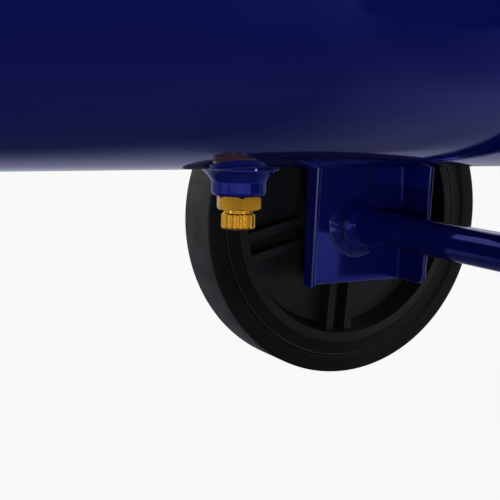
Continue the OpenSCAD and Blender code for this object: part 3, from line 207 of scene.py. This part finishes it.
def make_reflectors():
    """Dark flags and a pale card that show only in reflections, and only from their front."""
    for i, (start, end, bottom, top, glow) in enumerate(REFLECTORS):
        work = bmesh.new()
        work.faces.new([work.verts.new(corner) for corner in
                        ((*start, bottom), (*end, bottom), (*end, top), (*start, top))])
        card = as_object(work, "reflector_%d" % i)
        material = bpy.data.materials.new("reflector_%d" % i)
        material.use_nodes = True
        tree = material.node_tree
        shader = tree.nodes["Principled BSDF"]
        shader.inputs["Base Color"].default_value = SCREEN_BLACK
        shader.inputs["Roughness"].default_value = 1.0
        shader.inputs["Emission Color"].default_value = (*WHITE, 1)
        shader.inputs["Emission Strength"].default_value = glow
        either = tree.nodes.new("ShaderNodeMixShader")
        tree.links.new(tree.nodes.new("ShaderNodeNewGeometry").outputs["Backfacing"], either.inputs[0])
        tree.links.new(shader.outputs[0], either.inputs[1])
        tree.links.new(tree.nodes.new("ShaderNodeBsdfTransparent").outputs[0], either.inputs[2])
        tree.links.new(either.outputs[0], tree.nodes["Material Output"].inputs["Surface"])
        card.data.materials.append(material)
        card.visible_camera = card.visible_diffuse = False
        card.visible_shadow = card.visible_transmission = False


def softbox(name, place, aim, size, power, colour, in_gloss):
    """A rectangular lamp that looks from its place at its aim."""
    data = bpy.data.lights.new(name, "AREA")
    data.shape = "RECTANGLE"
    data.size, data.size_y = size
    data.energy = power
    data.color = colour
    lamp = bpy.data.objects.new(name, data)
    lamp.location = Vector(place)
    lamp.visible_glossy = in_gloss
    lamp.rotation_mode = "QUATERNION"
    lamp.rotation_quaternion = (Vector(aim) - Vector(place)).to_track_quat("-Z", "Y")
    bpy.context.scene.collection.objects.link(lamp)


def make_lights():
    """All the lamps of the table above."""
    for row in LAMPS:
        softbox(*row)


# ---- Mesh tools ----

JOIN_REACH = 1e-6                  # metres within which a CAD mesh's corners are one
FLAT_ANGLE = math.radians(0.2)     # triangles that differ by less lie in one flat face
CREASE_ANGLE = math.radians(28)    # edges sharper than this are rounded
ROUND_STEPS = 2                    # faces across a rounded edge
WIRE_SIDES, SPIN_STEPS = 10, 240   # faces about a wire, and about a wheel
# Degrees up to which pieces are shaded smooth: rounded copies, turned pieces and coils, the welded tube.
COPY_SMOOTH, TURNED_SMOOTH, TUBE_SMOOTH = 35, 50, 60


def as_object(work, name):
    """Ends a bmesh and makes it an object of that name at the origin."""
    mesh = bpy.data.meshes.new(name)
    work.to_mesh(mesh)
    work.free()
    made = bpy.data.objects.new(name, mesh)
    bpy.context.scene.collection.objects.link(made)
    return made


def smooth(piece, angle):
    """Shades a piece smooth, except across edges sharper than the angle in degrees."""
    piece.data.shade_smooth()
    piece.data.set_sharp_from_angle(angle=math.radians(angle))


def joined_copy(node, name, edge, clamp):
    """A CAD node's form with its triangles joined and its sharp edges rounded by edge, in millimetres.

    The rounded faces carry the value 1 in the attribute "edge". With clamp, no rounding is wider than
    its shortest neighbour allows.
    """
    work = bmesh.new()
    work.from_mesh(frame["nodes"][node].data)
    mark = work.faces.layers.float.new("edge")
    bmesh.ops.remove_doubles(work, verts=work.verts, dist=JOIN_REACH)
    bmesh.ops.dissolve_limit(work, angle_limit=FLAT_ANGLE, verts=work.verts, edges=work.edges)
    sharp = [e for e in work.edges if len(e.link_faces) == 2 and e.calc_face_angle() > CREASE_ANGLE]
    made = bmesh.ops.bevel(work, geom=sharp, offset=edge * MM, affect="EDGES", segments=ROUND_STEPS,
                           profile=0.5, material=-1, clamp_overlap=clamp)
    # The mark tells the navy paint where to lay its painted edge highlight.
    for face in made["faces"]:
        face[mark] = 1.0
    piece = as_object(work, name)
    smooth(piece, COPY_SMOOTH)
    flat = piece.modifiers.new("flat_faces", "WEIGHTED_NORMAL")
    flat.keep_sharp = True
    return piece


def bridge(work, one, other):
    """Joins two rings of as many corners by a band of faces."""
    for k in range(len(one)):
        after = (k + 1) % len(one)
        work.faces.new((one[k], one[after], other[after], other[k]))


def skin(work, rings):
    """Joins rings of corners in turn, and closes both ends."""
    for one, other in zip(rings, rings[1:]):
        bridge(work, one, other)
    work.faces.new(rings[0])
    work.faces.new(rings[-1])
    bmesh.ops.recalc_face_normals(work, faces=work.faces)


def tube_mesh(work, path, radius):
    """A closed round wire along a list of points."""
    rings = []
    for i, here in enumerate(path):
        along = (path[min(i + 1, len(path) - 1)] - path[max(i - 1, 0)]).normalized()
        across = along.cross(Vector((0, 0, 1))).normalized()
        up = across.cross(along)
        rings.append([work.verts.new(here + radius * (math.cos(t) * across + math.sin(t) * up))
                      for t in (2 * math.pi * k / WIRE_SIDES for k in range(WIRE_SIDES))])
    skin(work, rings)


def spun(name, profile, centre):
    """A ring about a wheel's Y axis, from a closed outline of (radius, offset along Y) in millimetres."""
    work = bmesh.new()
    rings = []
    for i in range(SPIN_STEPS):
        turn = 2 * math.pi * i / SPIN_STEPS
        rings.append([work.verts.new((centre[0] + r * MM * math.cos(turn), centre[1] + off * MM,
                                      centre[2] + r * MM * math.sin(turn))) for r, off in profile])
    for i in range(SPIN_STEPS):
        bridge(work, rings[i], rings[(i + 1) % SPIN_STEPS])
    bmesh.ops.recalc_face_normals(work, faces=work.faces)
    piece = as_object(work, name)
    smooth(piece, TURNED_SMOOTH)
    return piece


def finish_piece(piece, body, material, slot, *nodes):
    """Gives a new piece its material and its body, and hides the CAD nodes that it stands for. The slot is
    not used.
    """
    piece.data.materials.clear()
    piece.data.materials.append(material)
    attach(piece, body)
    if nodes:
        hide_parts(*nodes)
    return piece


# ---- Pieces that take the place of CAD nodes ----

# Sizes in millimetres where nothing else is said.
TUBE_R = 10.1          # the cross tube's radius
TUBE_END = 144.8       # its end against a bracket's web
TUBE_SIDES = 144
WELD_RUN = 20.0        # how far the weld metal reaches along the tube
WELD_FADE = 4.0        # the last of that run, over which it fades out
WELD_STEP = 0.4        # between two rings of the weld
LOBE_TURN = math.radians(238)      # where the weld's large lobe sits about the tube
WELD_TOE, BEAD_TOE = 11.0, 6.0     # how far the lobe and the rest of the bead spread over the web
BEAD_REACH, LOBE_REACH = 11.5, 4.5     # the fillet along the tube, and what the lobe adds to it
CREST, CREST_PLACE, CREST_WIDTH = 2.6, 8.6, 3.2    # the bead's crest, and where along the tube it is
CREST_MEAN = 0.85      # its mean height as a share of the full one
LOBE_BREADTH, GLEAM_BREADTH, LOBE_RAMP = 0.35, 0.2, 0.9    # how broad the lobe and its gleam are
# The weld's waves: height, number about the tube, lean along it, and start.
RIPPLES = [(0.22, 11, 0.9, 0.0), (0.16, 17, -0.6, 1.1)]
REACH_WAVE, CREST_WAVE, GLEAM_WAVE = (0.8, 5, 0.0, 0.4), (0.15, 3, 0.0, 2.0), (0.25, 13, 0.8, 0.0)
RIPPLE_CALM = 0.5      # the share of the ripples' height that goes by the fillet's end
GLEAM_TOE, GLEAM_CREST = (0.3, 0.5), (7.2, 0.7)    # place and width of the painted highlight lines on the weld
GLEAM_MOST, GLEAM_MEAN, GLEAM_LEAST = 0.8, 0.75, 0.25    # at most, on the whole, and far from the lobe
LOBE_GLEAM, LOBE_GLEAM_END = 0.12, 9   # the faint gleam all over the lobe, and where along the tube it ends
TYRE_R, TYRE_HALF, SHOULDER_R, SHOULDER_INSET = 100.0, 17.0, 2.0, 0.1
SEAT_R, SEAT_HALF, LIP_R, LIP_CORNER = 77.05, 13.9, 80.03, 0.7
# Radius and depth along the sidewall: the hatched band, then the last stretch before the shoulder.
HATCHED_BAND = [(81.6, 0.0), (81.9, 0.3), (82.3, 0.35), (87.6, 0.35), (88.0, 0.3)]
BEFORE_SHOULDER = [(93.5, 0.0), (96.8, 0.05)]
RING_R, RING_HALF = 88.55, 0.3     # the fine raised ring beside the band
GROOVE_R = 89.3        # the sidewall's groove, and its points as radius from there and depth
SIDE_GROOVE = [(-0.25, 0.45), (0.1, 0.7), (0.45, 0.5), (0.8, 0.08), (1.3, 0.0)]
SPRING_TURNS, SPRING_WIRE, TURN_STEPS = 6.5, 0.55, 28
CLOSE_ENDS = 0.35      # how much of the coil's rise is eased at its ends
GAUGE_STEPS = 10       # steps of the dial's scale
STEP_MARKS = 5         # marks to a step
DIAL_SWEEP, DIAL_START = 270.0, 225    # degrees
DIAL_CLEAR = 0.04      # between the dial and its marks
MARK_OUTER, LONG_INNER, SHORT_INNER = 20.4, 16.6, 18.4
LONG_HALF, SHORT_HALF, MARK_RISE = 0.35, 0.16, 0.12
NUMBER_R, NUMBER_SIZE, NUMBER_RISE, NUMBER_JOIN = 13.2, 4.8, 0.06, 1e-4


def smoothstep(x):
    """0 up to 0, 1 from 1, and a smooth rise between."""
    x = min(max(x, 0.0), 1.0)
    return x * x * (3 - 2 * x)


def wave(away, turn, height, count, lean, start):
    """The height of a wave about the tube at a distance from the web and an angle."""
    return height * math.sin(count * turn + lean * away + start)


def lobe_share(turn, breadth):
    """1 at the weld's large lobe, 0 on the far side of the tube."""
    return smoothstep((math.cos(turn - LOBE_TURN) + breadth) / LOBE_RAMP)


def weld_radius(away, turn):
    """Radius of the welded tube at a distance from the web and an angle about the axis."""
    if away > WELD_RUN:
        return TUBE_R
    lobe = lobe_share(turn, LOBE_BREADTH)
    ripple = sum(wave(away, turn, *one) for one in RIPPLES)
    spread = BEAD_TOE + (WELD_TOE - BEAD_TOE) * lobe
    reach = BEAD_REACH + LOBE_REACH * lobe + wave(away, turn, *REACH_WAVE)
    share = min(away / reach, 1.0)
    fillet = spread * (1 - share) ** 2.0
    crest = CREST * math.exp(-((away - CREST_PLACE) / CREST_WIDTH) ** 2)
    crest *= CREST_MEAN + wave(away, turn, *CREST_WAVE)
    fade = smoothstep((WELD_RUN - away) / WELD_FADE)
    return TUBE_R + fade * (fillet + crest + ripple * (1 - RIPPLE_CALM * share))


def weld_gleam(away, turn):
    """The painted highlight on the weld: how far its paint is lightened at the lobe's toe and along the
    bead's crest.
    """
    lobe = lobe_share(turn, GLEAM_BREADTH)
    toe, crest = (math.exp(-((away - place) / width) ** 2) for place, width in (GLEAM_TOE, GLEAM_CREST))
    line = max(toe * lobe, crest * (GLEAM_LEAST + (1 - GLEAM_LEAST) * lobe))
    broken_up = GLEAM_MEAN + wave(away, turn, *GLEAM_WAVE)
    return GLEAM_MOST * line * broken_up + LOBE_GLEAM * lobe * (away < LOBE_GLEAM_END)


def make_cross_tube(finishes):
    """The tube between the brackets with its weld metal at both ends."""
    low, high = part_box("cross_tube")
    x, z = (low[0] + high[0]) / 2, (low[2] + high[2]) / 2
    work = bmesh.new()
    mark = work.verts.layers.float.new("edge")
    stations = [WELD_STEP * i for i in range(int(WELD_RUN / WELD_STEP) + 2)]
    spots = [-TUBE_END + a for a in stations] + [TUBE_END - a for a in reversed(stations)]
    rings = []
    for y in spots:
        ring = []
        away = TUBE_END - abs(y)
        for k in range(TUBE_SIDES):
            turn = 2 * math.pi * k / TUBE_SIDES
            r = weld_radius(away, turn) * MM
            ring.append(work.verts.new((x + r * math.cos(turn), y * MM, z + r * math.sin(turn))))
            # The weld's painted highlight, kept in the edge attribute for the navy paint.
            ring[-1][mark] = weld_gleam(away, turn)
        rings.append(ring)
    skin(work, rings)
    piece = as_object(work, "welded_cross_tube")
    smooth(piece, TUBE_SMOOTH)
    finish_piece(piece, "tank", finishes["tank_paint"], "tank_paint", "cross_tube")


def arc(centre_r, centre_off, radius, start, end, steps):
    """Points of an arc in an outline, angles in degrees from the radial direction towards +Y."""
    return [(centre_r + radius * math.cos(math.radians(a)), centre_off + radius * math.sin(math.radians(a)))
            for a in (start + (end - start) * i / steps for i in range(steps + 1))]


def tyre_outline():
    """One side from the seat out to the tread, with its rings and groove, then the same mirrored."""
    half = TYRE_HALF
    side = [(SEAT_R, SEAT_HALF), (LIP_R, SEAT_HALF), (LIP_R, half - LIP_CORNER)]
    side += arc(LIP_R + LIP_CORNER, half - LIP_CORNER, LIP_CORNER, 180, 90, 4)
    side += [(radius, half - depth) for radius, depth in HATCHED_BAND]
    side += arc(RING_R, half, RING_HALF, 170, 10, 6)
    side += [(GROOVE_R + out, half - depth) for out, depth in SIDE_GROOVE]
    side += [(radius, half - depth) for radius, depth in BEFORE_SHOULDER]
    side += arc(TYRE_R - SHOULDER_R, half - SHOULDER_INSET - SHOULDER_R, SHOULDER_R, 88, 0, 8)
    return side + [(r, -off) for r, off in reversed(side)]


def make_tyres(finishes):
    """Both tyres, turned from one outline."""
    for side in ("left", "right"):
        node = side + "_tyre"
        piece = spun(side + "_tyre_ring", tyre_outline(), wheel_centre(node))
        finish_piece(piece, side + "_wheel", finishes[node], "tyre", node)


def make_rounded_copies(finishes):
    """CAD nodes whose edges are rounded: node, body, finish, rounding in millimetres."""
    rows = [
        ("left_wheel_bracket", "tank", "tank_paint", 0.8),
        ("right_wheel_bracket", "tank", "tank_paint", 0.8),
        ("rest_foot", "tank", "tank_paint", 0.8),
        ("drain_bung", "tank", "tank_paint", 0.3),
        ("left_rim", "left_wheel", "black_plastic", 0.5),
        ("right_rim", "right_wheel", "black_plastic", 0.5),
        ("drain_valve_body", "tank", "brass", 0.25),
        ("outlet_valve_body", "tank", "brass", 0.4),
        ("fittings_block", "tank", "brass", 0.5),
        ("safety_valve_body", "tank", "brass", 0.3),
        ("air_plug", "tank", "brass", 0.3),
        ("outlet_lever", "outlet_plug", "zinc_steel", 0.4),
        ("gauge_case", "tank", "black_enamel", 0.4),
    ]
    for node, body, finish, edge in rows:
        bracket = "bracket" in node    # whose many short edges would hold its rounding back
        piece = joined_copy(node, node + "_rounded", edge, clamp=not bracket)
        finish_piece(piece, body, finishes[finish], SLOTS[node], node)


def make_spring(finishes):
    """The safety valve's coil, with closer turns at its ends."""
    low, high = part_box("safety_spring")
    x, y = (low[0] + high[0]) / 2, (low[1] + high[1]) / 2
    wire = SPRING_WIRE * MM
    radius = (high[0] - low[0]) / 2 - wire
    rise = high[2] - low[2] - 2 * wire
    count = int(SPRING_TURNS * TURN_STEPS)
    path = []
    for i in range(count + 1):
        share = i / count
        climb = smoothstep(share) * CLOSE_ENDS + share * (1 - CLOSE_ENDS)
        turn = 2 * math.pi * SPRING_TURNS * share
        height = low[2] + wire + rise * climb
        path.append(Vector((x + radius * math.cos(turn), y + radius * math.sin(turn), height)))
    work = bmesh.new()
    tube_mesh(work, path, wire)
    piece = as_object(work, "safety_coil")
    smooth(piece, TURNED_SMOOTH)
    finish_piece(piece, "tank", finishes["zinc_steel"], "zinc_steel", "safety_spring")
    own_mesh(piece)


def dial_spot(share, radius, low, high):
    """A place just before the dial's face at a share of the sweep and a radius."""
    turn = math.radians(DIAL_START - DIAL_SWEEP * share)
    return Vector((low[0] - DIAL_CLEAR * MM, (low[1] + high[1]) / 2 - radius * MM * math.cos(turn),
                   (low[2] + high[2]) / 2 + radius * MM * math.sin(turn)))


def make_dial_marks(finishes):
    """Scale lines and plain numbers on the gauge's dial."""
    low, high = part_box("gauge_dial")
    work = bmesh.new()
    for i in range(GAUGE_STEPS * STEP_MARKS + 1):
        share = i / (GAUGE_STEPS * STEP_MARKS)
        inner, half = (SHORT_INNER, SHORT_HALF) if i % STEP_MARKS else (LONG_INNER, LONG_HALF)
        start, end = dial_spot(share, inner, low, high), dial_spot(share, MARK_OUTER, low, high)
        across = (end - start).cross(Vector((1, 0, 0))).normalized() * (half * MM)
        corners = [start - across, start + across, end + across, end - across]
        back = [work.verts.new(c) for c in corners]
        front = [work.verts.new(c - Vector((MARK_RISE * MM, 0, 0))) for c in corners]
        work.faces.new(back)
        work.faces.new(front)
        bridge(work, back, front)
    bmesh.ops.recalc_face_normals(work, faces=work.faces)
    finish_piece(as_object(work, "dial_scale"), "tank", finishes["black_enamel"], "black_enamel")
    for i in range(0, GAUGE_STEPS + 1, 2):
        make_number(finishes, i, dial_spot(i / GAUGE_STEPS, NUMBER_R, low, high))


def make_number(finishes, value, spot):
    """A plain number centred at a spot on the dial, facing -X like the dial."""
    curve = bpy.data.curves.new("dial_number", "FONT")
    curve.body = str(value)
    curve.size = NUMBER_SIZE * MM
    curve.extrude = NUMBER_RISE * MM
    curve.align_x = "CENTER"
    curve.align_y = "CENTER"
    text = bpy.data.objects.new("dial_number_text", curve)
    bpy.context.scene.collection.objects.link(text)
    bpy.context.view_layer.update()
    mesh = bpy.data.meshes.new_from_object(text.evaluated_get(bpy.context.evaluated_depsgraph_get()))
    bpy.data.objects.remove(text)
    bpy.data.curves.remove(curve)
    towards_dial_front = Matrix(((0, 0, -1), (-1, 0, 0), (0, 1, 0))).to_4x4()
    mesh.transform(Matrix.Translation(spot - Vector((NUMBER_RISE * MM, 0, 0))) @ towards_dial_front)
    work = bmesh.new()
    work.from_mesh(mesh)
    bmesh.ops.remove_doubles(work, verts=work.verts, dist=NUMBER_JOIN * MM)
    bmesh.ops.recalc_face_normals(work, faces=work.faces)
    bpy.data.meshes.remove(mesh)
    finish_piece(as_object(work, "dial_number_%d" % value), "tank", finishes["black_enamel"], "black_enamel")


# ---- Shader effects that several finishes share ----

COLOUR_A, COLOUR_B, COLOUR_OUT = 6, 7, 2    # the Mix node's sockets for colours


def new_group(name, inputs, outputs):
    """A node group with the sockets given as label, kind and value. Gives its tree and both its ends."""
    tree = bpy.data.node_groups.new(name, "ShaderNodeTree")
    for label, kind, value in inputs:
        socket = tree.interface.new_socket(label, in_out="INPUT", socket_type="NodeSocket" + kind)
        socket.default_value = value
    for label, kind in outputs:
        tree.interface.new_socket(label, in_out="OUTPUT", socket_type="NodeSocket" + kind)
    return tree, tree.nodes.new("NodeGroupInput").outputs, tree.nodes.new("NodeGroupOutput").inputs


def object_place(tree):
    """The shaded point in its object's own frame."""
    return tree.nodes.new("ShaderNodeTexCoord").outputs["Object"]


def noise(tree, place, scale, detail=3.0):
    """A Noise Texture's value, with a number or a socket as its scale."""
    node = tree.nodes.new("ShaderNodeTexNoise")
    node.inputs["Detail"].default_value = detail
    tree.links.new(place, node.inputs["Vector"])
    if isinstance(scale, (int, float)):
        node.inputs["Scale"].default_value = scale
    else:
        tree.links.new(scale, node.inputs["Scale"])
    return node.outputs["Fac"]


def tone_drift_group():
    """A colour that wanders softly between two tones."""
    tree, given, out = new_group(
        "tone_drift",
        [("Tone", "Color", (0.5, 0.5, 0.5, 1)), ("Other Tone", "Color", (0.4, 0.4, 0.4, 1)),
         ("Scale", "Float", 20.0)],
        [("Color", "Color")])
    drift = noise(tree, object_place(tree), given["Scale"], 4.0)
    mask = map_range(tree, drift, 0.35, 0.65)
    mix = tree.nodes.new("ShaderNodeMix")
    mix.data_type = "RGBA"
    tree.links.new(mask, mix.inputs["Factor"])
    tree.links.new(given["Tone"], mix.inputs[COLOUR_A])
    tree.links.new(given["Other Tone"], mix.inputs[COLOUR_B])
    tree.links.new(mix.outputs[COLOUR_OUT], out["Color"])
    return tree


def gloss_drift_group():
    """A roughness that wanders between two values."""
    tree, given, out = new_group(
        "gloss_drift", [("Low", "Float", 0.1), ("High", "Float", 0.2), ("Scale", "Float", 30.0)],
        [("Roughness", "Float")])
    drift = noise(tree, object_place(tree), given["Scale"], 5.0)
    tree.links.new(map_range(tree, drift, 0.3, 0.7, given["Low"], given["High"]), out["Roughness"])
    return tree


def fine_bump_group():
    """A fine even grain as a normal: orange peel in paint, or the grain of moulded plastic."""
    tree, given, out = new_group(
        "fine_bump",
        [("Scale", "Float", 400.0), ("Depth", "Float", 0.00002), ("Stretch", "Vector", (1, 1, 1))],
        [("Normal", "Vector")])
    mapping = tree.nodes.new("ShaderNodeMapping")
    tree.links.new(object_place(tree), mapping.inputs["Vector"])
    tree.links.new(given["Stretch"], mapping.inputs["Scale"])
    bump = tree.nodes.new("ShaderNodeBump")
    tree.links.new(noise(tree, mapping.outputs[0], given["Scale"], 2.0), bump.inputs["Height"])
    tree.links.new(given["Depth"], bump.inputs["Distance"])
    tree.links.new(bump.outputs[0], out["Normal"])
    return tree


def polar_group():
    """Distance from a wheel's axle, and the angle about it, for a wheel on the Y axis."""
    tree, given, out = new_group(
        "polar_place", [("Centre", "Vector", (0, 0, 0))], [("Radius", "Float"), ("Angle", "Float")])
    shift = tree.nodes.new("ShaderNodeVectorMath")
    shift.operation = "SUBTRACT"
    tree.links.new(object_place(tree), shift.inputs[0])
    tree.links.new(given["Centre"], shift.inputs[1])
    parts = tree.nodes.new("ShaderNodeSeparateXYZ")
    tree.links.new(shift.outputs[0], parts.inputs[0])
    squares = math_node(tree, "ADD", math_node(tree, "POWER", parts.outputs["X"], 2.0),
                        math_node(tree, "POWER", parts.outputs["Z"], 2.0))
    tree.links.new(math_node(tree, "SQRT", squares), out["Radius"])
    tree.links.new(math_node(tree, "ARCTAN2", parts.outputs["Z"], parts.outputs["X"]), out["Angle"])
    return tree


EFFECTS = {
    "tone_drift": tone_drift_group(),
    "gloss_drift": gloss_drift_group(),
    "fine_bump": fine_bump_group(),
    "polar_place": polar_group(),
}


def effect(tree, name, **values):
    """A node of a shared group in a material's tree, with its sockets set."""
    node = tree.nodes.new("ShaderNodeGroup")
    node.node_tree = EFFECTS[name]
    for label, value in values.items():
        node.inputs[label.replace("_", " ")].default_value = value
    return node


# ---- Finishes ----

PAINT_TONES = (0.012, 0.020, 0.30), (0.010, 0.016, 0.26)
PAINT_ROUGHNESS, PAINT_METALLIC = (0.045, 0.075), 0.45
PAINT_SHEEN = (0.75, 0.8, 1.0, 1)  # the tint of its mirror reflections
# The painted highlight on rounded sheet edges and on the weld: its tone, and how far it lightens the paint.
EDGE_HIGHLIGHT_TONE = (0.17, 0.19, 0.40)
EDGE_HIGHLIGHT_LEAST, EDGE_HIGHLIGHT_MORE = 0.45, 0.7  # how far the painted edge highlight lightens at least, and what a noise adds to it

RUBBER_TONES = (0.008, 0.008, 0.009), (0.011, 0.011, 0.011)
# The tread's dust, and the painted highlight on the fine raised ring.
DUST_TONE, RING_HIGHLIGHT_TONE = (0.0145, 0.0132, 0.0132), (0.035, 0.035, 0.037)
TREAD_START = 0.0965               # radii on a tyre, in metres
HATCHED, RING_HIGHLIGHT_SPAN = (0.0822, 0.0878), (0.08825, 0.08885)
HATCH_LINES, HATCH_SLANT = 400.0, 2600.0   # ridges about the wheel, and how they lean across the band
HATCH_DEPTH, HATCH_STRENGTH = 0.00008, 0.5
RUBBER_ROUGHNESS, LENS_ROUGHNESS = (0.42, 0.58), (0.01, 0.04)
RUBBER_DRIFT, DUST_SCALE, RUBBER_GLOSS, RUBBER_GRAIN, GRAIN_DEPTH = 45.0, 60.0, 80.0, 900.0, 0.00006

# Slot: name, two tones and their scale, roughness and its scale,
# the grain's scale, depth and stretch, and how metallic it is.
FINISHES = {
    "brass": ("machined_brass", (0.90, 0.48, 0.050), (0.80, 0.39, 0.030), 60.0,
              (0.13, 0.22), 90.0, 900.0, 0.00002, (1, 1, 3), 1.0),
    "black_plastic": ("moulded_plastic", (0.012, 0.012, 0.013), (0.016, 0.016, 0.017), 40.0,
                      (0.34, 0.46), 120.0, 1400.0, 0.00004, (1, 1, 1), 0.0),
    "black_rubber": ("grip_rubber", (0.010, 0.010, 0.010), (0.016, 0.016, 0.016), 50.0,
                     (0.55, 0.70), 150.0, 1200.0, 0.00006, (1, 1, 1), 0.0),
    "zinc_steel": ("zinc_plate", (0.60, 0.61, 0.62), (0.50, 0.52, 0.54), 50.0,
                   (0.22, 0.34), 90.0, 800.0, 0.00002, (1, 1, 1), 1.0),
    "chrome_steel": ("polished_ball", (0.72, 0.72, 0.73), (0.68, 0.68, 0.70), 40.0,
                     (0.05, 0.09), 80.0, 500.0, 0.000005, (1, 1, 1), 1.0),
    "white_plastic": ("white_plastic", (0.80, 0.80, 0.78), (0.76, 0.76, 0.74), 60.0,
                      (0.35, 0.45), 90.0, 900.0, 0.00001, (1, 1, 1), 0.0),
    "black_enamel": ("black_enamel", (0.012, 0.012, 0.012), (0.016, 0.016, 0.016), 60.0,
                     (0.12, 0.20), 90.0, 500.0, 0.00001, (1, 1, 1), 0.0),
    "needle_aluminium": ("needle_black", (0.010, 0.010, 0.010), (0.014, 0.014, 0.014), 90.0,
                         (0.30, 0.40), 90.0, 900.0, 0.00001, (1, 1, 1), 0.0),
}


def new_finish(name, **plain):
    """A material with a Principled shader whose unvarying sockets are set directly."""
    material = bpy.data.materials.new(name)
    material.use_nodes = True
    tree = material.node_tree
    shader = tree.nodes["Principled BSDF"]
    for label, value in plain.items():
        shader.inputs[label.replace("_", " ")].default_value = value
    return material, tree, shader


def tone(rgb):
    """A colour with its alpha."""
    return (*rgb, 1.0)


def drifting_finish(name, rgb, other, tone_scale, gloss, gloss_scale, grain, depth, stretch, metallic,
                    **plain):
    """The common finish: a drifting colour, a drifting gloss and a fine grain."""
    material, tree, shader = new_finish(name, Metallic=metallic, **plain)
    colour = effect(tree, "tone_drift", Tone=tone(rgb), Other_Tone=tone(other), Scale=tone_scale)
    polish = effect(tree, "gloss_drift", Low=gloss[0], High=gloss[1], Scale=gloss_scale)
    bump = effect(tree, "fine_bump", Scale=grain, Depth=depth, Stretch=stretch)
    tree.links.new(colour.outputs["Color"], shader.inputs["Base Color"])
    tree.links.new(polish.outputs["Roughness"], shader.inputs["Roughness"])
    tree.links.new(bump.outputs["Normal"], shader.inputs["Normal"])
    return material


def lighter_where(tree, colour, mask, other):
    """A colour that turns to another where a mask is 1."""
    mix = tree.nodes.new("ShaderNodeMix")
    mix.data_type = "RGBA"
    tree.links.new(mask, mix.inputs["Factor"])
    tree.links.new(colour, mix.inputs[COLOUR_A])
    mix.inputs[COLOUR_B].default_value = tone(other)
    return mix.outputs[COLOUR_OUT]


def paint_finish():
    """Gloss navy paint, with a painted highlight: a lighter line along rounded sheet edges and weld lines,
    which carry an edge value.
    """
    material = drifting_finish("tank_paint", *PAINT_TONES, 9.0, PAINT_ROUGHNESS, 30.0, 300.0, 0.000012,
                               (1, 1, 1), PAINT_METALLIC, IOR=1.5, Specular_Tint=PAINT_SHEEN)
    tree = material.node_tree
    shader = tree.nodes["Principled BSDF"]
    plain = shader.inputs["Base Color"].links[0].from_socket
    # Painted highlight: the paint turns lighter where the edge value is set.
    edge = tree.nodes.new("ShaderNodeAttribute")
    edge.attribute_name = "edge"
    uneven = math_node(tree, "MULTIPLY", noise(tree, object_place(tree), 70.0), EDGE_HIGHLIGHT_MORE)
    mask = math_node(tree, "MULTIPLY", edge.outputs["Fac"], math_node(tree, "ADD", EDGE_HIGHLIGHT_LEAST, uneven))
    tree.links.new(lighter_where(tree, plain, mask, EDGE_HIGHLIGHT_TONE), shader.inputs["Base Color"])
    return material


def between(tree, value, ends):
    """1 where a value lies between two numbers, else 0."""
    return math_node(tree, "MULTIPLY", math_node(tree, "GREATER_THAN", value, ends[0]),
                     math_node(tree, "LESS_THAN", value, ends[1]))


def rubber_finish(name, centre):
    """Tyre rubber with a hatched band, a painted highlight line on the fine ring and a dusty tread, all
    about the wheel's own axle.
    """
    material, tree, shader = new_finish(name, Specular_IOR_Level=0.25)
    place = effect(tree, "polar_place", Centre=centre)
    radius, angle = place.outputs["Radius"], place.outputs["Angle"]
    rgb, other = RUBBER_TONES
    colour = effect(tree, "tone_drift", Tone=tone(rgb), Other_Tone=tone(other), Scale=RUBBER_DRIFT)
    tread = math_node(tree, "GREATER_THAN", radius, TREAD_START)
    dust = math_node(tree, "MULTIPLY", tread, noise(tree, object_place(tree), DUST_SCALE, 5.0))
    dusty = lighter_where(tree, colour.outputs["Color"], dust, DUST_TONE)
    # Painted highlight along the fine raised ring beside the hatched band.
    line = between(tree, radius, RING_HIGHLIGHT_SPAN)
    tree.links.new(lighter_where(tree, dusty, line, RING_HIGHLIGHT_TONE), shader.inputs["Base Color"])
    low, high = RUBBER_ROUGHNESS
    polish = effect(tree, "gloss_drift", Low=low, High=high, Scale=RUBBER_GLOSS)
    tree.links.new(polish.outputs["Roughness"], shader.inputs["Roughness"])
    slant = math_node(tree, "ADD", math_node(tree, "MULTIPLY", angle, HATCH_LINES),
                      math_node(tree, "MULTIPLY", radius, HATCH_SLANT))
    hatch = math_node(tree, "MULTIPLY", math_node(tree, "SINE", slant), between(tree, radius, HATCHED))
    ridges = tree.nodes.new("ShaderNodeBump")
    ridges.inputs["Distance"].default_value = HATCH_DEPTH
    ridges.inputs["Strength"].default_value = HATCH_STRENGTH
    grain = effect(tree, "fine_bump", Scale=RUBBER_GRAIN, Depth=GRAIN_DEPTH)
    tree.links.new(hatch, ridges.inputs["Height"])
    tree.links.new(grain.outputs["Normal"], ridges.inputs["Normal"])
    tree.links.new(ridges.outputs[0], shader.inputs["Normal"])
    return material


def lens_finish():
    """The gauge's clear lens."""
    material, tree, shader = new_finish("clear_lens", Transmission_Weight=1.0, IOR=1.49,
                                        Base_Color=(0.97, 0.98, 0.98, 1))
    low, high = LENS_ROUGHNESS
    polish = effect(tree, "gloss_drift", Low=low, High=high, Scale=60.0)
    tree.links.new(polish.outputs["Roughness"], shader.inputs["Roughness"])
    return material


def wheel_centre(node):
    """The middle of a node's box."""
    low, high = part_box(node)
    return (low + high) / 2


def make_finishes():
    """Every finish by its slot, and each tyre's own by its node."""
    made = {slot: drifting_finish(*row) for slot, row in FINISHES.items()}
    made["tank_paint"] = paint_finish()
    made["clear_lens"] = lens_finish()
    for node in ("left_tyre", "right_tyre"):
        made[node] = rubber_finish(node + "_rubber", wheel_centre(node))
    return made


def dress_nodes(finishes):
    """Gives each CAD node the finish of its slot, or its own."""
    for node, piece in frame["nodes"].items():
        piece.data.materials.clear()
        piece.data.materials.append(finishes.get(node) or finishes[SLOTS[node]])


make_camera()
make_world()
make_floor()
make_reflectors()
make_lights()
finishes = make_finishes()
dress_nodes(finishes)
make_cross_tube(finishes)
make_tyres(finishes)
make_rounded_copies(finishes)
make_spring(finishes)
make_dial_marks(finishes)

bpy.context.scene.view_settings.view_transform = "Standard"
